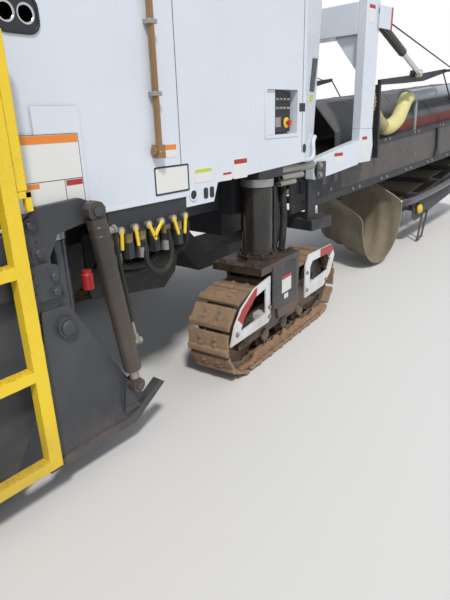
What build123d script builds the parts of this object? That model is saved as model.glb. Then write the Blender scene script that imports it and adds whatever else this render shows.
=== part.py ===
from build123d import *
from math import atan2, cos, degrees, hypot, pi, radians, sin
import os

# Cold planer on four crawler tracks with a folding front discharge conveyor.
# Millimetres. +X forward (discharge end), +Y left, +Z up, ground at z = 0,
# origin under the middle of the machine's length.

# Running and sliding clearances
FIT = 0.4
SEAT = 0.3

# Main places along the machine
X_REAR = -6540
X_REAR_TRACK = -5375
X_DRUM = -2625
X_FRONT_TRACK = 40
X_TANK_REAR = -2050
X_TANK_BEND = 230
X_TANK_FRONT = 560
X_SWING = 1200
BODY_HALF = 1210
FRAME_Z = 1050
FRAME_TOP = 1255

# Parked angles as in the picture, degrees
PARKED_STEER = 5
PARKED_SWING = -5
PARKED_LIFT = 4
PARKED_FOLD = 173

# Crawler tracks
TRACK_Y = BODY_HALF - 122
SHOE_WIDTH = 305
TRACK_LENGTH = 1740
TRACK_HEIGHT = 600
SHOE_COUNT = 24
SHOE_THICK = 22
CHAIN_THICK = 26
ARC_STEPS = 8
GROUSER = 16
WHEEL_WIDTH = 120
ROLLER_RADIUS = 80
ROLLER_COUNT = 4
WHEEL_POCKET = 80
WHEEL_SIDES = 14
BAR_SIDES = 8
TRACK_PLATE = 30
CHEEK_REACH = 60
CHEEK_LOW = 130
CHEEK_HIGH = 110
LEG_OFFSET = -215
LEG_RADIUS = 102
LEG_SIDES = 14
LEG_BOX = 140
LEG_WALL_OUT = 116
LEG_TUBE_BOTTOM = 1265
LEG_CASE_BOTTOM = 1020
LEG_CASE_GAP = 8
LEG_TUBE_TOP = 1500
LEG_TOP = 1430
BRACKET_TOP = 720
BRACKET_THICK = 50
BRACKET_GAP = 14
BRACKET_WALL = 26
BRACKET_HALF = 280
BRACKET_PIN_X = 120
BRACKET_PIN_Z = 80
BRACKET_PIN = 46

# Main frame
RAIL_INNER = BODY_HALF - 550
RAIL_OUTER = BODY_HALF - 350
RAIL_REAR = -6380
RAIL_FRONT = 240
CROSS_BOTTOM = 860
AXLE_HALF = 110
TIE_LONG = 100
BUMPER_IN = 210
NECK_REACH = 420
NOSE_DROP = 120
SLEW_PIN = 60
NOSE_HALF = 250
NOSE_BOTTOM = 400
NOSE_TOP = 540
NOSE_FRONT = 1420
LUG_BORE = 30
LUG_OUTER = 62
LUG_THICK = 40
REAR_LUG_X = -6460
REAR_LUG_Y = RAIL_OUTER + 20
REAR_LUG_Z = 980
FRONT_LUG_X = 1478
FRONT_LUG_Y = 170
FRONT_LUG_Z = 470

# Cutter drum and its housing
DRUM_AXIS_Z = 770
DRUM_SHELL = 400
HOUSING_HALF = BODY_HALF - 40
DRUM_HALF = HOUSING_HALF - 95
DRUM_SIDES = 32
HOLDER_RING = 480
HOLDER_HALF = 28
TOOL_BASE = 34
TOOL_PHASE = 0.5
TOOL_TIP = 560
TOOL_COUNT = 44
TOOL_TURNS = 3
HOUSING_WALL = 30
HOUSING_FRONT = -1930
HOUSING_REAR = -3320
HOUSING_BOTTOM = 430
HOUSING_RISE = 370
MOUTH_TOP = 1000
DRUM_SHAFT = 140

# Side plates with their hinged front skids
PLATE_IN = BODY_HALF - 28
PLATE_OUT = BODY_HALF - 4
HANGER_IN = BODY_HALF + 12
HANGER_OUT = BODY_HALF + 42
HANGER_BOTTOM = 1000
PLATE_BOTTOM = 165
PLATE_TOP = 1040
PLATE_REAR = -3850
PLATE_FRONT = -2200
SKID_PIVOT_X = -1859
SKID_PIVOT_Z = 813
SKID_PIN = 30
SKID_EYE_X = -1545
SKID_EYE_Z = 400
ARM_END_X = -1675
ARM_END_Z = 1290
ARM_PIN = 20
SKID_ROD_SHOWN = 95
SKID_STROKE = 545
SKID_CYL_Y = HANGER_OUT + 54
SKID_BARREL_RADIUS = 44
BARREL_SIDES = 10
SKID_ROD_RADIUS = 24
EYE_HALF = 26
SHOE_STRIP = 36
SLIDE_CYL_X = -1775
SLIDE_CYL_Y = BODY_HALF - 80
SLIDE_BARREL = 45
SLIDE_ROD = 27
SLIDE_ROD_TOP = 1300
SLIDE_BARREL_TOP = 1205
SLIDE_BARREL_BOTTOM = 640
PLATE_TRAVEL = 360

# Scraper behind the drum
SCRAPER_X = HOUSING_REAR - SEAT
SCRAPER_THICK = 40
SCRAPER_HALF = HOUSING_HALF - 100
SCRAPER_BOTTOM = 190
SCRAPER_TOP = 740

# Collecting conveyor under the water tank
COLLECT_TAIL_X = -1830
COLLECT_TAIL_Z = 560
COLLECT_HEAD_X = 1120
COLLECT_HEAD_Z = 1900
COLLECT_HALF = 480
COLLECT_DEPTH = 300
COLLECT_WALL = 20
HANG_X = -80
HOOD_BACK = 420
HOOD_LONG = 520
HOOD_RISE = 90
HOOD_OVER = 70
BELT_THICK = 16
PULLEY = 95
COLLECT_BELT_Z = -20

# Water tank body
TANK_BOTTOM = FRAME_TOP
TANK_TOP = 2640
TUNNEL_HALF = 590
TUNNEL_TOP = 2150
TANK_LEAN = 160
TANK_CHAMFER_Y = 110
TAB_REAR = -1002
TAB_FRONT = -774
TAB_BOTTOM = 1197
VALVE_REAR = -1480
VALVE_STEP = 88
VALVE_COUNT = 6
POCKET_REAR = -242
POCKET_FRONT = 120
POCKET_BOTTOM = 1530
POCKET_TOP = 1800
POCKET_DEPTH = 130

# Operator platform
PLATFORM_REAR = -3950
PLATFORM_Z = 1720
PLATFORM_THICK = 40
RAIL_TOP = 2800
RAIL_TUBE = 21
CANOPY_Z = 3010
CANOPY_THICK = 60
CANOPY_HALF = BODY_HALF - 30
POST_SIZE = 90
POST_INNER = 74
POST_IN = 190
DESK_WIDTH = 380
DESK_LOW = 840
DESK_HIGH = 940
RAIL_MID = 500
POST_TOP = 2860

# Ladders
LADDER_FRONT = -2015
LADDER_REAR = -2470
LADDER_IN = HANGER_OUT + 23
LADDER_DEPTH = 50
LADDER_BOTTOM = 215
LADDER_TOP = 2350
LADDER_STRINGER = 60
RUNG_STEP = 440
RUNG_HEIGHT = 50

# Engine bay
BAY_REAR = RAIL_REAR
BAY_FRONT = PLATFORM_REAR - 20
BAY_TOP = 1900
BAY_WALL = 25
LOUVRE_COUNT = 5
LOUVRE_STEP = 130
GRILLE_HALF = 800
GRILLE_BOTTOM = 1380
GRILLE_TOP = 1840
GRILLE_BARS = 10
HOOD_TOP = 2560
HOOD_WALL = 25
HOOD_LIP = 160
HOOD_SLOPE = 700
HOOD_HINGE_X = BAY_FRONT - 40
HOOD_HINGE_Z = HOOD_TOP - 30
HOOD_HINGE_Y = (-900, 900)
HOOD_PIN = 12
EXHAUST_X = -4500
EXHAUST_Y = 620
ENGINE_LENGTH = 1500
ENGINE_HALF = 420
ENGINE_HEIGHT = 1000
ENGINE_FRONT = BAY_FRONT - 230

# Swinging yoke that carries the discharge conveyor
SADDLE_BOTTOM = 655
SADDLE_TOP = 755
SADDLE_REAR = 1040
SADDLE_FRONT = 1360
YOKE_IN = 812
YOKE_OUT = 900
LIFT_X = 1105
LIFT_Z = 1190
LIFT_HINGE = 35
ARM_BOTTOM = 1110
FOOT_BOTTOM = 1190
FOOT_TOP = 1500
LEG_REAR = 1792
LEG_FRONT = 2025
MAST_TOP = 2880
CROSSBEAM_BOTTOM = 2310
HUB = 150

# Discharge conveyor, measured along itself from the lift pin
BELT_TAIL = -200
BELT_FOLD = 5250
SIDE_OUT = 740
SIDE_WALL = 14
FLANGE = 60
TIE_COUNT = 8
SIDE_BOTTOM = -370
SIDE_TOP = 75
HINGE_X = BELT_FOLD
HINGE_Z = SIDE_BOTTOM - 34
COVER_START = 760
COVER_RISE = 460
COVER_HALF = 600
COVER_WALL = 12
COVER_FOOT = 40
DUCT_START = 2300
DUCT_END = 5200
DUCT_Z = 460
DUCT_RADIUS = 72
DUCT_POST = 20
TAIL_PULLEY = 115
BASE_BELT_Z = -150
TIP_BELT_Z = 185
HEAD_PULLEY = 95
BELT_HALF = 457
TIP_LENGTH = 2850
TIP_DEPTH = 330
TIP_OUT = 700
TIP_TIE_COUNT = 5
KNUCKLE = 34
FOLD_PIN = 24
STRUT_Y = 788
STRUT_HALF = 18
STRUT_START = 1270
STRUT_END = 3350
STRUT_Z = 640
LIFT_EYE_X = 2000
LIFT_EYE_Z = 700
LIFT_MAST_X = 2112
LIFT_MAST_Z = 2420
LIFT_CYL_Y = 856
LIFT_BARREL = 42
LIFT_ROD = 24
LIFT_PIN = 22
LIFT_BARREL_LENGTH = 560
LOOP_REAR = 1000
LOOP_FRONT = 2140
LOOP_DROP = 930

NODES = {}


def block(x0, x1, y0, y1, z0, z1):
    """A rectangular block between two corners."""
    place = Pos((x0 + x1) / 2, (y0 + y1) / 2, (z0 + z1) / 2)
    return place * Box(abs(x1 - x0), abs(y1 - y0), abs(z1 - z0))


def slab_xz(points, y0, y1):
    """A side profile of (x, z) points, as thick as from y0 to y1."""
    low, high = min(y0, y1), max(y0, y1)
    wire = Polyline(*[(x, low, z) for x, z in points], close=True)
    return extrude(make_face(wire), amount=high - low, dir=(0, 1, 0))


def slab_xy(points, z0, z1):
    """A plan profile of (x, y) points, as tall as from z0 to z1."""
    wire = Polyline(*[(x, y, z0) for x, y in points], close=True)
    return extrude(make_face(wire), amount=z1 - z0, dir=(0, 0, 1))


def slab_yz(points, x0, x1):
    """A cross profile of (y, z) points, as long as from x0 to x1."""
    wire = Polyline(*[(x0, y, z) for y, z in points], close=True)
    return extrude(make_face(wire), amount=x1 - x0, dir=(1, 0, 0))


def rod(start, end, radius, sides=0):
    """A bar between two points, round, or with flat sides where nothing turns on it."""
    a, b = Vector(*start), Vector(*end)
    plane = Plane(origin=a, z_dir=b - a)
    length = (b - a).length
    if sides:
        return plane * extrude(RegularPolygon(radius, sides), amount=length)
    return plane * Pos(0, 0, length / 2) * Cylinder(radius, length)


def tube(start, end, outer, inner, sides=0):
    """A tube between two points."""
    return rod(start, end, outer, sides) - rod(start, end, inner, sides)


def across(x, z, y0, y1, radius, sides=0):
    """A bar along Y."""
    return rod((x, min(y0, y1), z), (x, max(y0, y1), z), radius, sides)


def upright(x, y, z0, z1, radius, sides=0):
    """A bar along Z."""
    return rod((x, y, z0), (x, y, z1), radius, sides)


def sliding_bore(radius, sides):
    """Radius over the corners of a flat-sided bore that clears a bar by the running fit."""
    return (radius + FIT) / cos(pi / sides)


def drum_radius(inner):
    """Radius over the corners of a pulley inside a belt's few-sided bend."""
    return (inner - SEAT) * cos(pi / (2 * ARC_STEPS - 2))


def solids_of(shape):
    """Every solid in a shape or a list of shapes."""
    if isinstance(shape, (list, tuple)):
        return [solid for item in shape for solid in solids_of(item)]
    return list(shape.solids())


def put(name, *shapes):
    """Keep the solids as one named node."""
    NODES[name] = Compound(children=solids_of(list(shapes)))


def turned(shape, x, y, angle):
    """The shape turned about an upright axis through (x, y)."""
    return Pos(x, y, 0) * Rot(0, 0, angle) * Pos(-x, -y, 0) * shape


def tipped(shape, x, z, angle):
    """The shape tipped nose up about a cross axis through (x, z)."""
    return Pos(x, 0, z) * Rot(0, -angle, 0) * Pos(-x, 0, -z) * shape


# Crawler track

def track_path(s, spread):
    """Point and outward direction at distance s round the pitch line of the chain."""
    radius = spread["radius"]
    straight = spread["straight"]
    arc = pi * radius
    s = s % (2 * straight + 2 * arc)
    if s < straight:
        return -straight / 2 + s, radius, 0.0, 1.0
    s -= straight
    if s < arc:
        a = pi / 2 - s / radius
        return straight / 2 + radius * cos(a), radius * sin(a), cos(a), sin(a)
    s -= arc
    if s < straight:
        return straight / 2 - s, -radius, 0.0, -1.0
    s -= straight
    a = -pi / 2 - s / radius
    return -straight / 2 + radius * cos(a), radius * sin(a), cos(a), sin(a)


def track_loop(x, y):
    """The chain with its shoes as one loop. Columns: along the shoe, outward."""
    radius = TRACK_HEIGHT / 2 - SHOE_THICK - GROUSER
    straight = TRACK_LENGTH - TRACK_HEIGHT
    spread = {"radius": radius, "straight": straight}
    pitch = (2 * straight + 2 * pi * radius) / SHOE_COUNT
    section = ((-0.46, 0), (-0.46, SHOE_THICK + GROUSER), (-0.22, SHOE_THICK + GROUSER), (-0.16, SHOE_THICK),
               (0.46, SHOE_THICK))
    points = []
    for index in range(SHOE_COUNT):
        px, pz, nx, nz = track_path((index + 0.5) * pitch, spread)
        tx, tz = nz, -nx
        for along, out in section:
            points.append((x + px + nx * out + tx * along * pitch,
                           TRACK_HEIGHT / 2 + pz + nz * out + tz * along * pitch))
    loop = slab_xz(points, y - SHOE_WIDTH / 2, y + SHOE_WIDTH / 2)
    inner = radius - CHAIN_THICK
    hollow = []
    for index in range(2 * ARC_STEPS):
        turn = pi / 2 - pi * (index % ARC_STEPS) / (ARC_STEPS - 1)
        end = 1 if index < ARC_STEPS else -1
        hollow.append((x + end * (straight / 2 + inner * cos(turn)),
                       TRACK_HEIGHT / 2 + end * inner * sin(turn)))
    return loop - slab_xz(hollow, y - SHOE_WIDTH, y + SHOE_WIDTH)


def track_carrier(x, y):
    """Wheels, rollers and cheeks of the carrier with its saddle bracket and leg column."""
    straight = TRACK_LENGTH - TRACK_HEIGHT
    mid = TRACK_HEIGHT / 2
    chain_inner = mid - SHOE_THICK - GROUSER - CHAIN_THICK
    wheel = drum_radius(chain_inner)
    leg_x = x + LEG_OFFSET
    half = WHEEL_WIDTH / 2
    cheek_end = straight / 2 + CHEEK_REACH
    profile = [(x - cheek_end, mid - CHEEK_LOW), (x + cheek_end, mid - CHEEK_LOW),
               (x + cheek_end, mid + CHEEK_LOW / 2), (x + straight / 4, mid + CHEEK_HIGH),
               (x - straight / 4, mid + CHEEK_HIGH), (x - cheek_end, mid + CHEEK_LOW / 2)]
    body = slab_xz(profile, y - half - TRACK_PLATE, y + half + TRACK_PLATE)
    for end in (-1, 1):
        cx = x + end * straight / 2
        body -= block(cx - WHEEL_POCKET, cx + end * chain_inner, y - half, y + half, 0, TRACK_HEIGHT)
        body += across(cx, mid, y - half, y + half, wheel, WHEEL_SIDES)
    step = straight / ROLLER_COUNT
    low = mid - chain_inner + ROLLER_RADIUS + SEAT
    for index in range(1, ROLLER_COUNT):
        cx = x - straight / 2 + index * step
        body += across(cx, low, y - half, y + half, ROLLER_RADIUS, BAR_SIDES)
    out = SHOE_WIDTH / 2 + BRACKET_GAP
    far = out + BRACKET_WALL
    body += block(leg_x - BRACKET_HALF, leg_x + BRACKET_HALF, y - far, y + far,
                  BRACKET_TOP - BRACKET_THICK, BRACKET_TOP)
    for way in (-1, 1):
        wall = [(leg_x - 40, mid - 10), (leg_x + BRACKET_HALF - 30, mid - 10),
                (leg_x + BRACKET_HALF, BRACKET_TOP - BRACKET_THICK),
                (leg_x - 130, BRACKET_TOP - BRACKET_THICK)]
        body += slab_xz(wall, y + way * out, y + way * far)
    body += across(leg_x + BRACKET_PIN_X, mid + BRACKET_PIN_Z, y - far, y + far, BRACKET_PIN, BAR_SIDES)
    body += upright(leg_x, y, BRACKET_TOP, LEG_TOP, LEG_RADIUS)
    body += upright(leg_x, y, BRACKET_TOP, BRACKET_TOP + 24, LEG_RADIUS + 42, BAR_SIDES)
    return body


def track_guard(x, y, side):
    """White guard plates with a window, at both ends of the outer side."""
    near = y + side * (SHOE_WIDTH / 2 + BRACKET_GAP)
    far = near + side * 12
    rear = [(x - 850, 310), (x - 800, 430), (x - 720, 520), (x - 560, 605), (x - 352, 635),
            (x - 352, 330), (x - 380, 310)]
    rear_window = [(x - 740, 370), (x - 690, 455), (x - 560, 545), (x - 410, 568), (x - 410, 390)]
    front = [(x + 210, 300), (x + 210, 560), (x + 270, 635), (x + 700, 625), (x + 780, 520),
             (x + 700, 380), (x + 560, 300)]
    front_window = [(x + 290, 400), (x + 290, 530), (x + 330, 570), (x + 640, 560), (x + 690, 500),
                    (x + 640, 420)]
    plates = []
    for outline, window in ((rear, rear_window), (front, front_window)):
        plates.append(slab_xz(outline, near, far) - slab_xz(window, near - side * 5, far + side * 5))
    straight = TRACK_LENGTH - TRACK_HEIGHT
    stays = []
    for end in (-1, 1):
        cx = x + end * (straight / 2 - 170)
        inner = y + side * (WHEEL_WIDTH / 2 + TRACK_PLATE)
        stays.append(block(cx - 40, cx + 40, min(inner, near), max(inner, near), 330, 380))
    return [plates[0] + stays[0], plates[1] + stays[1]]


for place, x in (("front", X_FRONT_TRACK), ("rear", X_REAR_TRACK)):
    for hand, side in (("right", -1), ("left", 1)):
        y = side * TRACK_Y
        angle = PARKED_STEER if place == "front" else 0
        leg_x = x + LEG_OFFSET

        def at_rest(shape):
            return turned(shape, leg_x, y, angle)

        name = place + "_" + hand
        put("track_shoes_" + name, at_rest(track_loop(x, y)))
        put("track_carrier_" + name, at_rest(track_carrier(x, y)))
        put("track_guards_" + name, [at_rest(piece) for piece in track_guard(x, y, side)])


# Main frame with leg tubes

def tie_lug(x, y, z, dx, dz):
    """Tie-down plate round its bore, reaching dx or dz to what carries it."""
    y0, y1 = y - LUG_THICK / 2, y + LUG_THICK / 2
    lug = across(x, z, y0, y1, LUG_OUTER, BAR_SIDES)
    if dz:
        lug += block(x - LUG_OUTER, x + LUG_OUTER, y0, y1, z, z + dz)
    else:
        lug += block(x + dx, x, y0, y1, z - LUG_OUTER, z + LUG_OUTER)
    return lug - across(x, z, y0 - 5, y1 + 5, LUG_BORE)


def main_frame():
    """Two rails, cross members, four leg tubes, bumper and the nose under the conveyor's tail."""
    parts = []
    inside = RAIL_INNER - SEAT
    for side in (-1, 1):
        for x0, x1 in ((RAIL_REAR, HOUSING_REAR - SEAT), (HOUSING_FRONT + SEAT, RAIL_FRONT)):
            parts.append(block(x0, x1, side * RAIL_INNER, side * RAIL_OUTER, FRAME_Z, FRAME_TOP))
    for x0, x1 in ((RAIL_REAR, RAIL_REAR + TIE_LONG), (HOUSING_REAR - 2 * TIE_LONG,
                                                       HOUSING_REAR - TIE_LONG),
                   (HOUSING_FRONT + 20, HOUSING_FRONT + 90)):
        parts.append(block(x0, x1, -inside, inside, FRAME_Z, FRAME_TOP))
    for x in (X_FRONT_TRACK + LEG_OFFSET, X_REAR_TRACK + LEG_OFFSET):
        parts.append(block(x - AXLE_HALF, x + AXLE_HALF, -RAIL_OUTER, RAIL_OUTER, CROSS_BOTTOM,
                           FRAME_Z - SEAT))
        for side in (-1, 1):
            tube_box = block(x - LEG_BOX, x + LEG_BOX, side * (RAIL_OUTER + SEAT),
                             side * (TRACK_Y + LEG_WALL_OUT), LEG_TUBE_BOTTOM, LEG_TUBE_TOP)
            parts.append(block(x - LEG_BOX, x + LEG_BOX, side * (RAIL_OUTER + SEAT),
                               side * (TRACK_Y - LEG_RADIUS - LEG_CASE_GAP), LEG_CASE_BOTTOM,
                               LEG_TUBE_BOTTOM - SEAT))
            parts.append(tube_box - upright(x, side * TRACK_Y, LEG_TUBE_BOTTOM - 10, LEG_TUBE_TOP - 40,
                                            sliding_bore(LEG_RADIUS, LEG_SIDES), LEG_SIDES))
    front_leg = X_FRONT_TRACK + LEG_OFFSET
    neck = front_leg + NECK_REACH
    parts.append(slab_xz([(front_leg - AXLE_HALF, CROSS_BOTTOM - SEAT),
                          (front_leg + AXLE_HALF, CROSS_BOTTOM - SEAT),
                          (neck - SEAT, NOSE_TOP), (neck - SEAT, NOSE_BOTTOM),
                          (neck - NOSE_DROP, NOSE_BOTTOM)],
                         -NOSE_HALF, NOSE_HALF))
    nose = block(neck, NOSE_FRONT, -NOSE_HALF, NOSE_HALF, NOSE_BOTTOM, NOSE_TOP)
    nose -= upright(X_SWING, 0, NOSE_BOTTOM - 10, NOSE_TOP + 10, SLEW_PIN + FIT)
    bumper = block(X_REAR, RAIL_REAR - SEAT, -BODY_HALF + BUMPER_IN, BODY_HALF - BUMPER_IN,
                   FRAME_Z, FRAME_TOP - 15)
    for side in (-1, 1):
        bumper += tie_lug(REAR_LUG_X, side * REAR_LUG_Y, REAR_LUG_Z, 0, FRAME_Z + 5 - REAR_LUG_Z)
        nose += tie_lug(FRONT_LUG_X, side * FRONT_LUG_Y, FRONT_LUG_Z, NOSE_FRONT - 5 - FRONT_LUG_X, 0)
    return parts + [nose, bumper]


put("main_frame", main_frame())


# Cutter drum

def cutter_drum():
    """Drum shell with wedge tools, each seated on one flat of the shell, on two opposed spirals."""
    flat = 360 / DRUM_SIDES
    base = DRUM_SHELL * cos(pi / DRUM_SIDES) + SEAT
    parts = [across(X_DRUM, DRUM_AXIS_Z, -DRUM_HALF, DRUM_HALF, DRUM_SHELL, DRUM_SIDES)]
    for index in range(TOOL_COUNT):
        y = -DRUM_HALF + HOLDER_HALF + 2 * (DRUM_HALF - HOLDER_HALF) * index / (TOOL_COUNT - 1)
        angle = 360 * TOOL_TURNS * abs(y) / DRUM_HALF + (180 if index % 2 else 0)
        seat = (round(angle / flat) + TOOL_PHASE) * flat
        tool = slab_xz([(-TOOL_BASE, base), (TOOL_BASE, base), (TOOL_BASE + 10, HOLDER_RING),
                        (TOOL_BASE + 22, TOOL_TIP), (TOOL_BASE - 10, HOLDER_RING + 16)],
                       y - HOLDER_HALF, y + HOLDER_HALF)
        parts.append(Pos(X_DRUM, 0, DRUM_AXIS_Z) * Rot(0, seat, 0) * tool)
    return parts


put("drum_shell", cutter_drum())
put("drum_hubs", [across(X_DRUM, DRUM_AXIS_Z, side * (DRUM_HALF + SEAT),
                         side * (HOUSING_HALF - HOUSING_WALL + 20), DRUM_SHAFT, WHEEL_SIDES)
                  for side in (-1, 1)])


def drum_housing():
    """Panels of the box over the drum, open below, at the scraper and at the conveyor's mouth."""
    top = FRAME_Z + HOUSING_RISE
    under = top - HOUSING_WALL - SEAT
    inside = HOUSING_HALF - HOUSING_WALL - SEAT
    panels = [block(HOUSING_REAR, HOUSING_FRONT, -HOUSING_HALF, HOUSING_HALF, top - HOUSING_WALL, top)]
    for side in (-1, 1):
        wall = block(HOUSING_REAR, HOUSING_FRONT, side * (HOUSING_HALF - HOUSING_WALL), side * HOUSING_HALF,
                     HOUSING_BOTTOM, under)
        panels.append(wall - across(X_DRUM, DRUM_AXIS_Z, side * (HOUSING_HALF - HOUSING_WALL - 5),
                                    side * (HOUSING_HALF + 5), DRUM_SHAFT + FIT))
    for x, half, sill in ((HOUSING_FRONT - HOUSING_WALL, COLLECT_HALF + 30, MOUTH_TOP),
                          (HOUSING_REAR, SCRAPER_HALF - 170, SCRAPER_TOP - 60)):
        panels.append(block(x, x + HOUSING_WALL, -inside, inside, sill + SEAT, under))
        for side in (-1, 1):
            panels.append(block(x, x + HOUSING_WALL, side * half, side * inside, HOUSING_BOTTOM, sill))
    return panels


put("drum_housing", drum_housing())


# Side plates and skids

def side_plate(side):
    """Hanger with its two arms, the rubbing plate behind it, joiner, boss, clamp, shoe and arm pin."""
    hanger = [(-3640, 1230), (-3560, 1330), (-3400, 1345), (-3250, 1240), (-2100, 1240), (-2000, 1260),
              (-1900, 1335), (-1700, 1345), (ARM_END_X + 55, ARM_END_Z + 20),
              (ARM_END_X + 55, ARM_END_Z - 45),
              (-1720, 1235), (-1830, 1215), (-1880, 1130), (-1880, HANGER_BOTTOM), (-3370, HANGER_BOTTOM),
              (-3370, 1130), (-3420, 1215), (-3600, 1215)]
    plate = [(PLATE_REAR, PLATE_BOTTOM + 90), (PLATE_REAR + 140, PLATE_BOTTOM), (PLATE_FRONT, PLATE_BOTTOM),
             (-2040, 420), (-1960, PLATE_TOP), (-3400, PLATE_TOP), (PLATE_REAR, 560)]
    boss = slab_xz([(-2000, 900), (-1800, 700), (-1760, 780), (-1865, HANGER_BOTTOM - SEAT),
                    (-2000, HANGER_BOTTOM - SEAT)], side * (BODY_HALF + 6), side * (HANGER_OUT - 10))
    return [slab_xz(hanger, side * HANGER_IN, side * HANGER_OUT),
            slab_xz(plate, side * PLATE_IN, side * PLATE_OUT),
            block(-3300, -2060, side * (PLATE_OUT + SEAT), side * (HANGER_IN - SEAT), HANGER_BOTTOM - 15,
                  PLATE_TOP),
            boss - across(SKID_PIVOT_X, SKID_PIVOT_Z, side * PLATE_IN, side * (HANGER_OUT + 50),
                          SKID_PIN + FIT),
            block(-2060, -1890, side * (HANGER_OUT + SEAT), side * (HANGER_OUT + 16), HANGER_BOTTOM + 5,
                  1110),
            block(PLATE_REAR + 140, PLATE_FRONT, side * (PLATE_OUT + SEAT), side * (HANGER_OUT + 6),
                  PLATE_BOTTOM - 5, PLATE_BOTTOM + SHOE_STRIP),
            across(ARM_END_X, ARM_END_Z, side * (HANGER_OUT + SEAT), side * (SKID_CYL_Y + 30), ARM_PIN,
                   BAR_SIDES)]


def skid(side):
    """Front skid plate on its boss pin, with an upturned nose and the cylinder's lug."""
    face_in, face_out = HANGER_OUT - 10 + SEAT, HANGER_OUT + 4
    outline = [(-1960, 905), (-1830, 905), (-1560, 430), (-1500, 325), (-1440, PLATE_BOTTOM + 110),
               (-1560, PLATE_BOTTOM + 6), (-2030, PLATE_BOTTOM + 6)]
    plate = slab_xz(outline, side * face_in, side * face_out)
    strip = slab_xz([(-2050, PLATE_BOTTOM - 5), (-1540, PLATE_BOTTOM - 5), (-1320, 300), (-1350, 325),
                     (-1560, PLATE_BOTTOM + SHOE_STRIP), (-2050, PLATE_BOTTOM + SHOE_STRIP)],
                    side * (face_in - 26), side * (face_out + 14))
    pin = across(SKID_PIVOT_X, SKID_PIVOT_Z, side * (BODY_HALF + 8), side * (face_out + 2), SKID_PIN,
                 BARREL_SIDES)
    head = across(SKID_PIVOT_X, SKID_PIVOT_Z, side * (face_out - 2), side * (face_out + 22), SKID_PIN + 18,
                  BARREL_SIDES)
    lug = slab_xz([(SKID_EYE_X - 60, SKID_EYE_Z - 110), (SKID_EYE_X + 60, SKID_EYE_Z - 110),
                   (SKID_EYE_X + 36, SKID_EYE_Z + 30), (SKID_EYE_X - 36, SKID_EYE_Z + 30)],
                  side * (face_out - 2), side * (SKID_CYL_Y - EYE_HALF - SEAT))
    return plate + strip + pin + head + lug


def belt_ring(x0, x1, z, radius, half, open_end=None):
    """A belt round two pulleys, or open at the named end where the belt runs on."""
    def outline(r):
        points = []
        for x, end in ((x1, 1), (x0, -1)):
            if open_end == ("end" if end == 1 else "start"):
                reach = 5 if r == radius else 0
                points += [(x + end * reach, z + end * r), (x + end * reach, z - end * r)]
                continue
            for index in range(ARC_STEPS):
                turn = pi / 2 - pi * index / (ARC_STEPS - 1)
                points.append((x + end * r * cos(turn), z + end * r * sin(turn)))
        return points
    return slab_xz(outline(radius + BELT_THICK), -half, half) - slab_xz(outline(radius), -half - 5,
                                                                        half + 5)


def between(ax, az, bx, bz, share):
    """The point part of the way from a to b."""
    return ax + (bx - ax) * share, az + (bz - az) * share


def skid_cylinder(side):
    """Barrel hung from the arm's end and rod down to the skid's lug."""
    length = hypot(SKID_EYE_X - ARM_END_X, SKID_EYE_Z - ARM_END_Z)
    y = side * SKID_CYL_Y

    def along(distance):
        x, z = between(ARM_END_X, ARM_END_Z, SKID_EYE_X, SKID_EYE_Z, distance / length)
        return x, y, z

    barrel_end = length - SKID_ROD_SHOWN
    barrel = rod(along(ARM_PIN + 10), along(barrel_end), SKID_BARREL_RADIUS, BARREL_SIDES)
    barrel += across(ARM_END_X, ARM_END_Z, y - side * 22, y + side * 22, SKID_BARREL_RADIUS + 2,
                     BARREL_SIDES)
    barrel -= across(ARM_END_X, ARM_END_Z, y - side * 40, y + side * 40, ARM_PIN + FIT)
    barrel -= rod(along(barrel_end - SKID_STROKE - 60), along(barrel_end + 10),
                  sliding_bore(SKID_ROD_RADIUS, BAR_SIDES), BAR_SIDES)
    piston_rod = rod(along(barrel_end - SKID_STROKE), along(length), SKID_ROD_RADIUS, BAR_SIDES)
    piston_rod += across(SKID_EYE_X, SKID_EYE_Z, y - EYE_HALF, y + EYE_HALF, 36, BARREL_SIDES)
    piston_rod += across(SKID_EYE_X, SKID_EYE_Z, y, y + side * (EYE_HALF + 10), 20, BAR_SIDES)
    return barrel, piston_rod


slide_barrels = []
for hand, side in (("right", -1), ("left", 1)):
    put("side_plate_" + hand, side_plate(side))
    put("skid_" + hand, skid(side))
    barrel, piston_rod = skid_cylinder(side)
    put("skid_barrel_" + hand, barrel)
    put("skid_rod_" + hand, piston_rod)
    y = side * SLIDE_CYL_Y
    rods = []
    for x in (SLIDE_CYL_X, 2 * X_DRUM - SLIDE_CYL_X):
        barrel = upright(x, y, SLIDE_BARREL_BOTTOM, SLIDE_BARREL_TOP, SLIDE_BARREL, BARREL_SIDES)
        barrel -= upright(x, y, SLIDE_BARREL_BOTTOM + 20, SLIDE_BARREL_TOP + 5,
                          sliding_bore(SLIDE_ROD, BAR_SIDES), BAR_SIDES)
        wall, near = (HOUSING_FRONT + SEAT, x - SLIDE_BARREL) if x > X_DRUM else (HOUSING_REAR - SEAT,
                                                                                  x + SLIDE_BARREL)
        slide_barrels.append(barrel)
        slide_barrels.append(block(min(wall, near), max(wall, near), y - 20, y + 20, 640, 760))
        rods.append(upright(x, y, SLIDE_BARREL_BOTTOM + 60, SLIDE_ROD_TOP - 50 - SEAT, SLIDE_ROD,
                            BAR_SIDES))
        rods.append(block(x - 34, x + 34, y - side * 30, side * (HANGER_IN - SEAT), SLIDE_ROD_TOP - 50,
                          SLIDE_ROD_TOP))
    put("slide_rods_" + hand, rods)
put("slide_barrels", slide_barrels)

put("scraper", block(SCRAPER_X - SCRAPER_THICK, SCRAPER_X, -SCRAPER_HALF, SCRAPER_HALF, SCRAPER_BOTTOM,
                     SCRAPER_TOP))


# Collecting conveyor

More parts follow.
